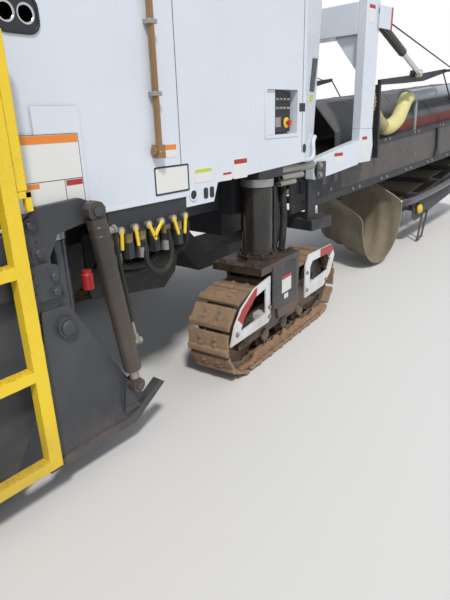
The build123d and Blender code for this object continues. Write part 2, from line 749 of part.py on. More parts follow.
def collecting_conveyor():
    """Trough that climbs from the drum to above the tail of the discharge conveyor."""
    length = hypot(COLLECT_HEAD_X - COLLECT_TAIL_X, COLLECT_HEAD_Z - COLLECT_TAIL_Z)
    angle = degrees(atan2(COLLECT_HEAD_Z - COLLECT_TAIL_Z, COLLECT_HEAD_X - COLLECT_TAIL_X))
    half = COLLECT_DEPTH / 2
    inside = COLLECT_HALF - COLLECT_WALL - SEAT
    parts = [block(60, length - 60, -inside, inside, -half, -half + 12),
             block(400, length - 260, -inside, inside, half - 12, half)]
    belt_half = inside - 12
    belt = belt_ring(PULLEY, length - PULLEY, COLLECT_BELT_Z, PULLEY, belt_half)
    for side in (-1, 1):
        parts.append(block(0, length, side * COLLECT_HALF, side * (COLLECT_HALF - COLLECT_WALL), -half,
                           half))
    for x in (PULLEY, length - PULLEY):
        drum = across(x, COLLECT_BELT_Z, -belt_half - 4, belt_half + 4, drum_radius(PULLEY), WHEEL_SIDES)
        parts.append(drum + across(x, COLLECT_BELT_Z, -inside, inside, 40, BAR_SIDES))
        for side in (-1, 1):
            parts.append(across(x, COLLECT_BELT_Z, side * (COLLECT_HALF + SEAT), side * (COLLECT_HALF + 30),
                                60, BAR_SIDES))

    def placed(shape):
        return Pos(COLLECT_TAIL_X, 0, COLLECT_TAIL_Z) * Rot(0, -angle, 0) * shape

    hood_wall = 12
    hood_start, hood_end = length - HOOD_BACK, length - HOOD_BACK + HOOD_LONG
    hood_top = half + HOOD_RISE
    rim = COLLECT_HALF + HOOD_OVER
    head_hood = [placed(block(hood_start, hood_end, -rim, rim, hood_top - hood_wall, hood_top))]
    for side in (-1, 1):
        head_hood.append(placed(block(hood_start, hood_end, side * rim, side * (rim - hood_wall),
                                      half + SEAT - HOOD_RISE, hood_top - hood_wall - SEAT)))
        head_hood.append(placed(block(hood_start, hood_start + 60, side * (COLLECT_HALF + SEAT),
                                      side * (rim - hood_wall - SEAT), half - HOOD_RISE, half)))
    parts = [placed(part) for part in parts]
    for side in (-1, 1):
        parts.append(block(HOUSING_FRONT + SEAT, COLLECT_TAIL_X + 120, side * (COLLECT_HALF + SEAT),
                           side * (COLLECT_HALF + 90), 560, 640))
        parts.append(block(HANG_X - 50, HANG_X + 50, side * (COLLECT_HALF + SEAT),
                           side * (RAIL_INNER - SEAT),
                           FRAME_TOP - 60, FRAME_TOP - 15))
    return parts, placed(belt), head_hood


collect_frame, collect_belt, collect_hood = collecting_conveyor()
put("collecting_frame", collect_frame)
put("collecting_belt", collect_belt)
put("collecting_hood", collect_hood)


# Water tank body

def tank_outline():
    """Side outline of the water tank body."""
    return [(X_TANK_REAR, TANK_BOTTOM), (TAB_REAR, TANK_BOTTOM), (TAB_REAR, TAB_BOTTOM),
            (TAB_FRONT, TAB_BOTTOM),
            (TAB_FRONT + 40, TANK_BOTTOM + 44), (X_TANK_FRONT - 110, TANK_BOTTOM + 90),
            (X_TANK_FRONT - 40, TANK_BOTTOM + 160), (X_TANK_FRONT + TANK_LEAN, TANK_TOP - 250),
            (X_TANK_FRONT + TANK_LEAN - 160, TANK_TOP), (X_TANK_REAR, TANK_TOP)]


def water_tank():
    """Two side tanks with their pockets and the bridge over the collecting conveyor."""
    whole = slab_xz(tank_outline(), -BODY_HALF, BODY_HALF)
    whole -= block(TAB_REAR - 10, TAB_FRONT + 60, -BODY_HALF + 10, BODY_HALF - 10, TAB_BOTTOM - 10,
                   TANK_BOTTOM)
    reach = X_TANK_FRONT + 2 * TANK_LEAN
    leg = X_FRONT_TRACK + LEG_OFFSET
    parts = [whole & block(X_TANK_REAR, reach, -TUNNEL_HALF + SEAT, TUNNEL_HALF - SEAT, TUNNEL_TOP,
                           TANK_TOP)]
    for side in (-1, 1):
        outer = side * (BODY_HALF + 5)
        tank = whole & block(X_TANK_REAR, reach, side * TUNNEL_HALF, outer, TAB_BOTTOM, TANK_TOP)
        tank -= slab_xy([(X_TANK_BEND, side * (BODY_HALF + 1)), (reach, side * (BODY_HALF + 1)),
                         (reach, side * (BODY_HALF - 2 * TANK_CHAMFER_Y))], FRAME_Z, TANK_TOP + 10)
        tank -= block(POCKET_REAR, POCKET_FRONT, side * (BODY_HALF - POCKET_DEPTH), outer,
                      POCKET_BOTTOM, POCKET_TOP)
        tank -= block(leg - LEG_BOX - SEAT, leg + LEG_BOX + SEAT, side * RAIL_OUTER,
                      side * (TRACK_Y + LEG_WALL_OUT + SEAT), FRAME_Z, LEG_TUBE_TOP + SEAT)
        tank -= block(SLIDE_CYL_X - 60, SLIDE_CYL_X + 130, side * (SLIDE_CYL_Y - 60), outer,
                      FRAME_Z, SLIDE_ROD_TOP + PLATE_TRAVEL + 40)
        tank -= block(X_TANK_REAR - 10, HOUSING_FRONT + 1, side * (TUNNEL_HALF - 10), outer,
                      FRAME_Z, FRAME_Z + HOUSING_RISE + 1)
        parts.append(tank)
    return parts


put("water_tank", water_tank())


def side_console(side):
    """Switch box in the tank's side pocket, with a stop button."""
    back = side * (BODY_HALF - POCKET_DEPTH)
    face = side * (BODY_HALF - 40)
    box = block(POCKET_REAR + 30, POCKET_REAR + 250, back, face, POCKET_BOTTOM + 15, POCKET_TOP - 15)
    ring = across(POCKET_REAR + 215, POCKET_BOTTOM + 60, face, side * (BODY_HALF - 25), 26, BAR_SIDES)
    knob = across(POCKET_REAR + 215, POCKET_BOTTOM + 60, side * (BODY_HALF - 26), side * (BODY_HALF - 2),
                  18, BAR_SIDES)
    return box + ring + knob


put("side_consoles", [side_console(side) for side in (-1, 1)])

SIGHT_X = -1200
put("sight_tube", rod((SIGHT_X, -BODY_HALF - 26, 1530), (SIGHT_X, -BODY_HALF - 26, 2480), 16, BAR_SIDES)
    + block(SIGHT_X - 26, SIGHT_X + 20, -BODY_HALF - 46, -BODY_HALF, 1490, 1532)
    + block(SIGHT_X - 20, SIGHT_X + 20, -BODY_HALF - 46, -BODY_HALF, 2478, 2520))


def valve_manifold():
    """Plate with its drain valves under the tank's right edge."""
    face = -BODY_HALF + 4
    parts = [block(VALVE_REAR - 50, TAB_REAR - SEAT, face, face + 12, 1130, TANK_BOTTOM - SEAT)]
    for index in range(VALVE_COUNT):
        x = VALVE_REAR + index * VALVE_STEP
        parts.append(upright(x, face + 46, 1080 + SEAT, TANK_BOTTOM - SEAT, 24, 6))
        parts.append(upright(x, face + 46, 1000, 1080, 33, 6))
    return parts


put("valve_manifold", valve_manifold())


# Operator platform, consoles, rails and canopy

def platform():
    """Walkway between the water tank and the engine bay with its side skirts and feet."""
    front = X_TANK_REAR - 5
    under = PLATFORM_Z - PLATFORM_THICK - SEAT
    rear_rod = 2 * X_DRUM - SLIDE_CYL_X
    parts = [block(PLATFORM_REAR, front, -BODY_HALF, BODY_HALF, under + SEAT, PLATFORM_Z)]
    for side in (-1, 1):
        for x0, x1 in ((PLATFORM_REAR, rear_rod - 60), (rear_rod + 60, front)):
            parts.append(block(x0, x1, side * (BODY_HALF - 16), side * BODY_HALF,
                               FRAME_Z + HOUSING_RISE + 2, under))
        parts.append(block(PLATFORM_REAR + 60, PLATFORM_REAR + 160, side * RAIL_INNER, side * RAIL_OUTER,
                           FRAME_TOP + SEAT, under))
        parts.append(block(front - 395, front - 295, side * RAIL_INNER, side * RAIL_OUTER,
                           FRAME_Z + HOUSING_RISE + SEAT, under))
    return parts


put("platform", platform())


def console(x, side):
    """Standing control desk with a sloped top, inboard of the canopy's posts."""
    outer = BODY_HALF - POST_IN - POST_SIZE - 10
    return slab_xz([(x, PLATFORM_Z + SEAT), (x + 260, PLATFORM_Z + SEAT), (x + 300, PLATFORM_Z + DESK_LOW),
                    (x + 40, PLATFORM_Z + DESK_HIGH), (x - 40, PLATFORM_Z + DESK_HIGH - 20)],
                   side * (outer - DESK_WIDTH), side * outer)


put("operator_consoles", [console(X_TANK_REAR - 420, side) for side in (-1, 1)])


def rail(side):
    """Hand rail along one edge of the platform, open at the ladder."""
    y = side * (BODY_HALF - 40)
    floor = PLATFORM_Z + SEAT
    front, rear = LADDER_REAR - 120, PLATFORM_REAR + 60
    middle = (front + rear) / 2
    gap = RAIL_TUBE + SEAT
    bars = [rod((rear - RAIL_TUBE, y, RAIL_TOP), (front + RAIL_TUBE, y, RAIL_TOP), RAIL_TUBE, 6)]
    for x in (rear, middle, front):
        bars.append(upright(x, y, floor, RAIL_TOP - gap, RAIL_TUBE, 6))
    for x0, x1 in ((rear, middle), (middle, front)):
        bars.append(rod((x0 + gap, y, PLATFORM_Z + RAIL_MID), (x1 - gap, y, PLATFORM_Z + RAIL_MID),
                        RAIL_TUBE * 0.8, 6))
    return bars


put("platform_rails", [rail(side) for side in (-1, 1)])

POST_PLACES = [(x, side * (BODY_HALF - POST_IN)) for x in (X_TANK_REAR - 160, PLATFORM_REAR + 200)
               for side in (-1, 1)]


def square_tube(x, y, z0, z1, size, hollow):
    """Upright square tube."""
    half = size / 2
    body = block(x - half, x + half, y - half, y + half, z0, z1)
    if hollow:
        bore = hollow / 2
        body -= block(x - bore, x + bore, y - bore, y + bore, z0 - 5, z1 + 5)
    return body


put("canopy_posts", [square_tube(x, y, PLATFORM_Z + SEAT, POST_TOP, POST_SIZE, POST_INNER + 2 * FIT)
                     for x, y in POST_PLACES])


def canopy():
    """Roof with turned-down edges on four inner posts."""
    x0, x1 = PLATFORM_REAR - 100, X_TANK_REAR + 150
    top = CANOPY_Z + CANOPY_THICK
    edge = 20
    parts = [block(x0, x1, -CANOPY_HALF, CANOPY_HALF, top - edge, top)]
    for x in (x0, x1 - edge):
        parts.append(block(x, x + edge, -CANOPY_HALF, CANOPY_HALF, CANOPY_Z, top - edge - SEAT))
    for side in (-1, 1):
        parts.append(block(x0 + edge + SEAT, x1 - edge - SEAT, side * (CANOPY_HALF - edge),
                           side * CANOPY_HALF,
                           CANOPY_Z, top - edge - SEAT))
    for x, y in POST_PLACES:
        parts.append(square_tube(x, y, PLATFORM_Z + 20, top - edge - SEAT, POST_INNER, 0))
    return parts


put("canopy", canopy())


def ladder(side):
    """Ladder with two stringers and square rungs, hung from the body's side."""
    y0, y1 = side * LADDER_IN, side * (LADDER_IN + LADDER_DEPTH)
    parts = []
    for x in (LADDER_FRONT - LADDER_STRINGER, LADDER_REAR):
        parts.append(block(x, x + LADDER_STRINGER, y0, y1, LADDER_BOTTOM, LADDER_TOP))
        for z in (PLATFORM_Z + 50, LADDER_TOP - 150):
            parts.append(block(x + 10, x + 50, side * (BODY_HALF + SEAT), side * (LADDER_IN - SEAT), z,
                               z + 40))
    count = int((LADDER_TOP - LADDER_BOTTOM) / RUNG_STEP)
    for index in range(count):
        z = LADDER_BOTTOM + index * RUNG_STEP
        parts.append(block(LADDER_REAR + LADDER_STRINGER + SEAT, LADDER_FRONT - LADDER_STRINGER - SEAT,
                           y0, y1, z, z + RUNG_HEIGHT))
    return parts


put("ladders", [ladder(side) for side in (-1, 1)])


# Engine bay and hood

def engine_bay():
    """Floor and walls round the engine, with the side louvres and the rear grille's opening cut."""
    leg = X_REAR_TRACK + LEG_OFFSET
    inner = BODY_HALF - BAY_WALL
    floor = FRAME_TOP + SEAT
    parts = [block(BAY_REAR, BAY_FRONT, -RAIL_OUTER + 10, RAIL_OUTER - 10, floor, floor + 20)]
    leg_rear, leg_front = leg - LEG_BOX - SEAT, leg + LEG_BOX + SEAT
    for side in (-1, 1):
        for x0, x1 in ((BAY_REAR, leg_rear), (leg_front, BAY_FRONT)):
            wall = block(x0, x1, side * inner, side * BODY_HALF, floor, BAY_TOP)
            if x0 == leg_front:
                for index in range(LOUVRE_COUNT):
                    x = x0 + 100 + index * LOUVRE_STEP
                    wall -= block(x, x + LOUVRE_STEP / 2, side * (inner - 5), side * (BODY_HALF + 5),
                                  BAY_TOP - 400, BAY_TOP - 120)
            parts.append(wall)
            parts.append(block(x0, x1, side * (RAIL_OUTER - 10 + SEAT), side * (inner - SEAT), floor,
                               floor + 20))
        parts.append(block(leg_rear + SEAT, leg_front - SEAT, side * inner, side * BODY_HALF,
                           LEG_TUBE_TOP + SEAT, BAY_TOP))
    inside = inner - SEAT
    rear = block(BAY_REAR, BAY_REAR + BAY_WALL, -inside, inside, floor + 20 + SEAT, BAY_TOP)
    parts.append(rear - block(BAY_REAR - 5, BAY_REAR + 40, -GRILLE_HALF, GRILLE_HALF, GRILLE_BOTTOM,
                              GRILLE_TOP))
    front = block(BAY_FRONT - BAY_WALL, BAY_FRONT, -inside, inside, floor + 20 + SEAT, HOOD_HINGE_Z - 35)
    for y in HOOD_HINGE_Y:
        front += across(HOOD_HINGE_X, HOOD_HINGE_Z, y - 62, y + 62, HOOD_PIN)
        for way in (-1, 1):
            front += block(HOOD_HINGE_X - 10, BAY_FRONT - 5, y + way * 50, y + way * 62, HOOD_HINGE_Z - 40,
                           HOOD_HINGE_Z + 10)
    return parts + [front]


put("engine_bay", engine_bay())
put("engine_block", block(ENGINE_FRONT - ENGINE_LENGTH, ENGINE_FRONT, -ENGINE_HALF, ENGINE_HALF,
                          FRAME_TOP + 20 + 2 * SEAT, FRAME_TOP + ENGINE_HEIGHT))
put("rear_grille", [block(BAY_REAR + 2, BAY_REAR + 14, -GRILLE_HALF + SEAT, GRILLE_HALF - SEAT,
                          GRILLE_BOTTOM + index * (GRILLE_TOP - GRILLE_BOTTOM) / GRILLE_BARS + 12,
                          GRILLE_BOTTOM + index * (GRILLE_TOP - GRILLE_BOTTOM) / GRILLE_BARS + 34)
                    for index in range(GRILLE_BARS)])


def hood():
    """Panels of the engine hood, hinged along its front upper edge."""
    z0 = BAY_TOP + SEAT
    front = BAY_FRONT - 60
    outline = [(BAY_REAR, z0), (front, z0), (front, HOOD_TOP), (BAY_REAR + HOOD_SLOPE, HOOD_TOP),
               (BAY_REAR + 60, HOOD_TOP - 260), (BAY_REAR, HOOD_TOP - 420)]
    inside = BODY_HALF - HOOD_WALL - SEAT
    parts = [slab_xz(outline, side * (BODY_HALF - HOOD_WALL), side * BODY_HALF) for side in (-1, 1)]
    parts.append(block(BAY_REAR, BAY_REAR + HOOD_WALL, -inside, inside, z0, HOOD_TOP - 420))
    parts.append(slab_xz([(BAY_REAR, HOOD_TOP - 420 + SEAT), (BAY_REAR + HOOD_WALL, HOOD_TOP - 420 + SEAT),
                          (BAY_REAR + 82, HOOD_TOP - 275), (BAY_REAR + 60, HOOD_TOP - 260 - SEAT)],
                         -inside, inside))
    parts.append(slab_xz([(BAY_REAR + 60, HOOD_TOP - 260), (BAY_REAR + 82, HOOD_TOP - 275 + SEAT),
                          (BAY_REAR + HOOD_SLOPE, HOOD_TOP - HOOD_WALL), (BAY_REAR + HOOD_SLOPE, HOOD_TOP)],
                         -inside, inside))
    top = block(BAY_REAR + HOOD_SLOPE + SEAT, front, -inside, inside, HOOD_TOP - HOOD_WALL, HOOD_TOP)
    parts.append(top)
    wall = block(front - HOOD_WALL, front, -inside, inside, HOOD_TOP - HOOD_LIP,
                 HOOD_TOP - HOOD_WALL - SEAT)
    for y in HOOD_HINGE_Y:
        wall += block(front - 4, HOOD_HINGE_X, y - 44, y + 44, HOOD_HINGE_Z - 14, HOOD_HINGE_Z + 4)
        wall += across(HOOD_HINGE_X, HOOD_HINGE_Z, y - 44, y + 44, HOOD_PIN + 10, BARREL_SIDES)
        wall -= across(HOOD_HINGE_X, HOOD_HINGE_Z, y - 50, y + 50, HOOD_PIN + FIT)
    return parts + [wall]


put("engine_hood", hood())
put("exhaust", tube((EXHAUST_X, EXHAUST_Y, HOOD_TOP + SEAT), (EXHAUST_X, EXHAUST_Y, HOOD_TOP + 240), 70, 62,
                    BARREL_SIDES))
put("tail_lamps", [block(X_REAR + 20, BAY_REAR - SEAT, side * (BODY_HALF - 170), side * (BODY_HALF - 60),
                         1560, 1700)
                   for side in (-1, 1)])


# Swinging yoke

def in_swing(shape):
    """The conveyor's straight-ahead shape as it is parked, swung only."""
    return turned(shape, X_SWING, 0, PARKED_SWING)


def in_lift(shape):
    """The conveyor's own shape as it is parked, lifted and swung."""
    return in_swing(Pos(LIFT_X, 0, LIFT_Z) * Rot(0, -PARKED_LIFT, 0) * shape)


def yoke():
    """Saddle on the slewing hub, side cheeks, arms, legs, crossbeam and the cylinders' brackets."""
    hub = upright(X_SWING, 0, NOSE_TOP + SEAT, SADDLE_BOTTOM - SEAT, HUB, WHEEL_SIDES)
    hub += upright(X_SWING, 0, NOSE_BOTTOM, NOSE_TOP + 5, SLEW_PIN)
    parts = [hub, block(SADDLE_REAR, SADDLE_FRONT, -YOKE_OUT, YOKE_OUT, SADDLE_BOTTOM, SADDLE_TOP),
             block(LEG_REAR, LEG_FRONT, -YOKE_IN + SEAT, YOKE_IN - SEAT, CROSSBEAM_BOTTOM,
                   CROSSBEAM_BOTTOM + 260)]
    cheek_front = SADDLE_REAR + 120
    for side in (-1, 1):
        inner, outer = side * YOKE_IN, side * YOKE_OUT
        parts.append(block(SADDLE_REAR, cheek_front, inner, side * (YOKE_IN + 40), SADDLE_TOP + SEAT,
                           ARM_BOTTOM - SEAT))
        arm = slab_xz([(SADDLE_REAR, ARM_BOTTOM), (cheek_front, ARM_BOTTOM),
                       (LEG_REAR - SEAT, ARM_BOTTOM + 70),
                       (LEG_REAR - SEAT, ARM_BOTTOM + 290), (1560, ARM_BOTTOM + 255),
                       (SADDLE_REAR + 35, ARM_BOTTOM + 170), (SADDLE_REAR, ARM_BOTTOM + 140)], inner, outer)
        parts.append(arm - across(LIFT_X, LIFT_Z, side * (YOKE_IN - 5), side * (YOKE_OUT + 5),
                                  LIFT_HINGE + FIT))
        parts.append(slab_xz([(LEG_REAR, FOOT_BOTTOM), (LEG_FRONT, FOOT_BOTTOM),
                              (LEG_FRONT + 30, FOOT_BOTTOM + 150),
                              (LEG_FRONT, FOOT_TOP - SEAT), (LEG_REAR, FOOT_TOP - SEAT)], inner, outer))
        parts.append(block(LEG_REAR, LEG_FRONT, inner, outer, FOOT_TOP, MAST_TOP))
        parts.append(slab_yz([(side * (YOKE_IN - SEAT), CROSSBEAM_BOTTOM - 320),
                              (side * (YOKE_IN - 260), CROSSBEAM_BOTTOM - SEAT),
                              (side * (YOKE_IN - SEAT), CROSSBEAM_BOTTOM - SEAT)], LEG_REAR + 40,
                              LEG_FRONT - 40))
        bracket = slab_xz([(LEG_FRONT - 40, LIFT_MAST_Z - 60), (LIFT_MAST_X + 20, LIFT_MAST_Z - 40),
                           (LIFT_MAST_X + 20, LIFT_MAST_Z + 40), (LEG_FRONT - 40, LIFT_MAST_Z + 60)],
                          side * (YOKE_OUT + SEAT), side * (YOKE_OUT + 14))
        parts.append(bracket + across(LIFT_MAST_X, LIFT_MAST_Z, side * (LIFT_CYL_Y - 24),
                                      side * (YOKE_OUT + 10),
                                      LIFT_PIN))
    return parts


put("yoke", [in_swing(part) for part in yoke()])


# Discharge conveyor

def conveyor_frame():
    """Side walls with flanges and cross ties, tail pulley, lift pins, fold ears and strut bars."""
    inside = SIDE_OUT - SIDE_WALL - SEAT
    tail = across(0, BASE_BELT_Z, -BELT_HALF - 30, BELT_HALF + 30, drum_radius(TAIL_PULLEY), WHEEL_SIDES)
    parts = [tail + across(0, BASE_BELT_Z, -inside, inside, 40, BAR_SIDES)]
    for side in (-1, 1):
        parts.append(slab_xz([(BELT_TAIL, SIDE_BOTTOM), (BELT_FOLD, SIDE_BOTTOM),
                              (BELT_FOLD, SIDE_TOP),
                              (COVER_START, SIDE_TOP), (-90, SIDE_TOP), (BELT_TAIL, SIDE_TOP - 140)],
                             side * SIDE_OUT, side * (SIDE_OUT - SIDE_WALL)))
        parts.append(block(BELT_TAIL, BELT_FOLD, side * (SIDE_OUT - FLANGE), side * inside, SIDE_BOTTOM,
                           SIDE_BOTTOM + SIDE_WALL))
        parts.append(across(0, 0, side * (SIDE_OUT + SEAT), side * YOKE_OUT, LIFT_HINGE))
        parts.append(block(-60, 60, side * (SIDE_OUT + SEAT), side * (SIDE_OUT + 24), BASE_BELT_Z - 60,
                           BASE_BELT_Z + 60))
        ear = slab_xz([(HINGE_X - 120, SIDE_BOTTOM - SEAT), (HINGE_X + 30, SIDE_BOTTOM - SEAT),
                       (HINGE_X + 30, HINGE_Z - 30), (HINGE_X - 40, HINGE_Z - 30)],
                      side * (TIP_OUT + SEAT), side * SIDE_OUT)
        parts.append(ear + across(HINGE_X, HINGE_Z, side * (TIP_OUT - 40), side * SIDE_OUT, FOLD_PIN))
        y0, y1 = side * (STRUT_Y - STRUT_HALF), side * (STRUT_Y + STRUT_HALF)
        parts.append(block(STRUT_START, STRUT_END, y0, y1, STRUT_Z - 30, STRUT_Z + 30))
        for x in (STRUT_START + 60, STRUT_END - 120):
            parts.append(block(x, x + 50, side * (SIDE_OUT + SEAT), y1, SIDE_TOP - 160,
                               STRUT_Z - 30 - SEAT))
        lug = slab_xz([(LIFT_EYE_X - 60, STRUT_Z + 30 + SEAT), (LIFT_EYE_X + 60, STRUT_Z + 30 + SEAT),
                       (LIFT_EYE_X + 30, LIFT_EYE_Z + 36), (LIFT_EYE_X - 30, LIFT_EYE_Z + 36)], y0, y1)
        parts.append(lug + across(LIFT_EYE_X, LIFT_EYE_Z, y1 - side * 5,
                                  side * (LIFT_CYL_Y - EYE_HALF - SEAT),
                                  LIFT_PIN + 6, BAR_SIDES))
    for index in range(TIE_COUNT):
        x = BELT_TAIL + 350 + index * (BELT_FOLD - BELT_TAIL - 500) / (TIE_COUNT - 1)
        parts.append(block(x, x + 60, -SIDE_OUT + FLANGE + SEAT, SIDE_OUT - FLANGE - SEAT, SIDE_BOTTOM,
                           SIDE_BOTTOM + 60))
    return parts


def conveyor_cover():
    """Arched cover over the belt, open below and at both ends, on lips along its foot."""
    half = COVER_HALF
    base = SIDE_TOP - COVER_FOOT
    wall = COVER_WALL
    corner, crown = 190, 240
    x0, x1 = COVER_START, BELT_FOLD - 40
    parts = []
    for side in (-1, 1):
        parts.append(block(x0, x1, side * half, side * (half - wall), base, base + corner))
        parts.append(slab_yz([(side * half, base + corner + SEAT),
                              (side * (half - wall), base + corner + SEAT),
                              (side * (half - crown), base + COVER_RISE - wall),
                              (side * (half - crown), base + COVER_RISE)], x0, x1))
        parts.append(block(x0, x1, side * (half + SEAT), side * (SIDE_OUT - SIDE_WALL - SEAT), base,
                           base + wall))
    parts.append(block(x0, x1, -half + crown + SEAT, half - crown - SEAT, base + COVER_RISE - wall,
                       base + COVER_RISE))
    return parts


def dust_duct():
    """Suction duct along the cover's right edge, on three posts that stand on the lip."""
    y = -COVER_HALF
    foot = SIDE_TOP - COVER_FOOT + COVER_WALL + SEAT
    duct = rod((DUCT_START, y, DUCT_Z), (DUCT_END, y, DUCT_Z), DUCT_RADIUS, BAR_SIDES)
    for x in (DUCT_START + 200, (DUCT_START + DUCT_END) / 2, DUCT_END - 200):
        duct += block(x, x + 50, y - SEAT - DUCT_POST, y - SEAT, foot, DUCT_Z)
    return duct


def conveyor_belt():
    """Carrying and returning run of the belt round the tail pulley."""
    return belt_ring(0, BELT_FOLD - 60, BASE_BELT_Z, TAIL_PULLEY, BELT_HALF, "end")


def tip_frame():
    """Folding outer section, drawn unfolded ahead of the hinge at (0, 0)."""
    inside = TIP_OUT - SIDE_WALL - SEAT
    pulley_x = TIP_LENGTH - 125
    head = across(pulley_x, TIP_BELT_Z, -BELT_HALF - 30, BELT_HALF + 30, drum_radius(HEAD_PULLEY),
                  WHEEL_SIDES)
    parts = [head + across(pulley_x, TIP_BELT_Z, -inside, inside, 40, BAR_SIDES)]
    for side in (-1, 1):
        parts.append(slab_xz([(KNUCKLE + 6, 20), (TIP_LENGTH - 60, 20), (TIP_LENGTH, 80),
                              (TIP_LENGTH, TIP_DEPTH - 80), (TIP_LENGTH - 60, TIP_DEPTH),
                              (KNUCKLE + 6, TIP_DEPTH)],
                             side * TIP_OUT, side * (TIP_OUT - SIDE_WALL)))
        parts.append(block(pulley_x - 60, pulley_x + 60, side * (TIP_OUT + SEAT), side * (TIP_OUT + 24),
                           TIP_BELT_Z - 60, TIP_BELT_Z + 60))
        knuckle = slab_xz([(0, -KNUCKLE), (60, -10), (120, 40), (120, 80), (40, 80), (0, KNUCKLE)],
                          side * (TIP_OUT - 40), side * inside)
        knuckle += across(0, 0, side * (TIP_OUT - 40), side * inside, KNUCKLE, BARREL_SIDES)
        parts.append(knuckle - across(0, 0, side * (TIP_OUT - 45), side * (inside + 5), FOLD_PIN + FIT))
    for index in range(TIP_TIE_COUNT):
        x = 140 + index * (TIP_LENGTH - 400) / (TIP_TIE_COUNT - 1)
        parts.append(block(x, x + 50, -inside, inside, 20, 70))
    return parts


def tip_belt():
    """Belt over the folding section, round the head pulley."""
    return belt_ring(60, TIP_LENGTH - 125, TIP_BELT_Z, HEAD_PULLEY, BELT_HALF, "start")


def in_fold(shape):
    """The folding section's own shape as it is parked, folded under."""
    return in_lift(Pos(HINGE_X, 0, HINGE_Z) * Rot(0, PARKED_FOLD, 0) * shape)


put("conveyor_frame", [in_lift(part) for part in conveyor_frame()])
put("conveyor_cover", [in_lift(part) for part in conveyor_cover()])
put("dust_duct", in_lift(dust_duct()))
put("conveyor_belt", in_lift(conveyor_belt()))
put("tip_frame", [in_fold(part) for part in tip_frame()])
put("tip_belt", in_fold(tip_belt()))


def lift_eye():
    """The strut's eye seen straight ahead, with the conveyor as parked."""
    angle = radians(PARKED_LIFT)
    x = LIFT_X + LIFT_EYE_X * cos(angle) - LIFT_EYE_Z * sin(angle)
    z = LIFT_Z + LIFT_EYE_X * sin(angle) + LIFT_EYE_Z * cos(angle)
    return x, z


def lift_cylinder(side):
    """Barrel on the yoke's leg and rod to the strut's eye."""
    ex, ez = lift_eye()
    mx, mz = LIFT_MAST_X, LIFT_MAST_Z
    y = side * LIFT_CYL_Y
    length = hypot(ex - mx, ez - mz)

    def along(distance):
        x, z = between(mx, mz, ex, ez, distance / length)
        return x, y, z

    barrel = rod(along(30), along(LIFT_BARREL_LENGTH), LIFT_BARREL, BARREL_SIDES)
    barrel += across(mx, mz, y - 20, y + 20, LIFT_BARREL + 2, BARREL_SIDES)
    barrel -= across(mx, mz, y - 60, y + 60, LIFT_PIN + FIT)
    barrel -= rod(along(100), along(LIFT_BARREL_LENGTH + 10), sliding_bore(LIFT_ROD, BAR_SIDES),
                  BAR_SIDES)
    piston_rod = rod(along(LIFT_BARREL_LENGTH - 40), along(length), LIFT_ROD, BAR_SIDES)
    piston_rod += across(ex, ez, y - EYE_HALF, y + EYE_HALF, 38, BARREL_SIDES)
    piston_rod += across(ex, ez, y, y + side * (EYE_HALF + 10), LIFT_PIN, BAR_SIDES)
    return barrel, piston_rod


lift_pairs = [lift_cylinder(side) for side in (-1, 1)]
put("lift_barrels", [in_swing(pair[0]) for pair in lift_pairs])
put("lift_rods", [in_swing(pair[1]) for pair in lift_pairs])


def belt_loop():
    """Slack belt that hangs open below the return run between two cross ties."""
    top = BASE_BELT_Z - TAIL_PULLEY - BELT_THICK - SEAT
    mid = (LOOP_REAR + LOOP_FRONT) / 2
    half = (LOOP_FRONT - LOOP_REAR) / 2
    # Columns: half lengths from the middle, share of the drop
    shape = ((-0.90, 0), (-1.0, 0.35), (-0.95, 0.62), (-0.72, 0.86), (-0.25, 1.0), (0.25, 1.0),
             (0.72, 0.84),
             (0.97, 0.6), (1.0, 0.35), (0.90, 0))
    thin = 1 - BELT_THICK / half
    outer = [(mid + along * half, top - drop * LOOP_DROP) for along, drop in shape]
    inner = [(mid + along * half * thin, top - drop * LOOP_DROP * thin) for along, drop in shape]
    inner = [(inner[0][0], top + 5)] + inner + [(inner[-1][0], top + 5)]
    return slab_xz(outer, -BELT_HALF, BELT_HALF) - slab_xz(inner, -BELT_HALF - 5, BELT_HALF + 5)


put("belt_loop", in_lift(belt_loop()))

os.makedirs("parts", exist_ok=True)
for name, node in NODES.items():
    export_step(node, "parts/" + name + ".step")
    print(name, len(node.solids()), round(node.volume / 1e9, 4))
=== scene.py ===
import math

import bmesh
import bpy
import numpy as np
from mathutils import Matrix


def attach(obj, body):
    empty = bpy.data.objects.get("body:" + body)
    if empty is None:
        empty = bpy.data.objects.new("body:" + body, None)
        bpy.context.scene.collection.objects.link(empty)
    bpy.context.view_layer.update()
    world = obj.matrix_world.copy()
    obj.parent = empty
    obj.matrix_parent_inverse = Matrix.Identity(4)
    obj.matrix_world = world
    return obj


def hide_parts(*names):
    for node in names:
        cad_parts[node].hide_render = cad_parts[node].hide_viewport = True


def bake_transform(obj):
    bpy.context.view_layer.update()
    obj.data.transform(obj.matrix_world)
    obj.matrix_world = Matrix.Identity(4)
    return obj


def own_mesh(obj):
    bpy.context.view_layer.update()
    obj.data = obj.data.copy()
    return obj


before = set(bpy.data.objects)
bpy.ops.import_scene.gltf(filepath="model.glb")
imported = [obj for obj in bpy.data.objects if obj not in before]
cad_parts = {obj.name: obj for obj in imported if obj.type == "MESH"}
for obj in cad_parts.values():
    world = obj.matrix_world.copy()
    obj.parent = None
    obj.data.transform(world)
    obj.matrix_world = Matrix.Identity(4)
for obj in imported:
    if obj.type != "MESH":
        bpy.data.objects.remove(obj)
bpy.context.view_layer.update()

bl_info = {
    "name": "Cold Planer Dressing",
    "version": (1, 0, 0),
    "blender": (4, 5, 0),
    "location": "3D View > Sidebar > Planer",
    "description": "Dresses the solids of a cold planer with its shoes, hoses, belts, bolts and finishes",
    "category": "Object",
}

# Main places of the machine in metres: X points forwards and the right side has negative Y

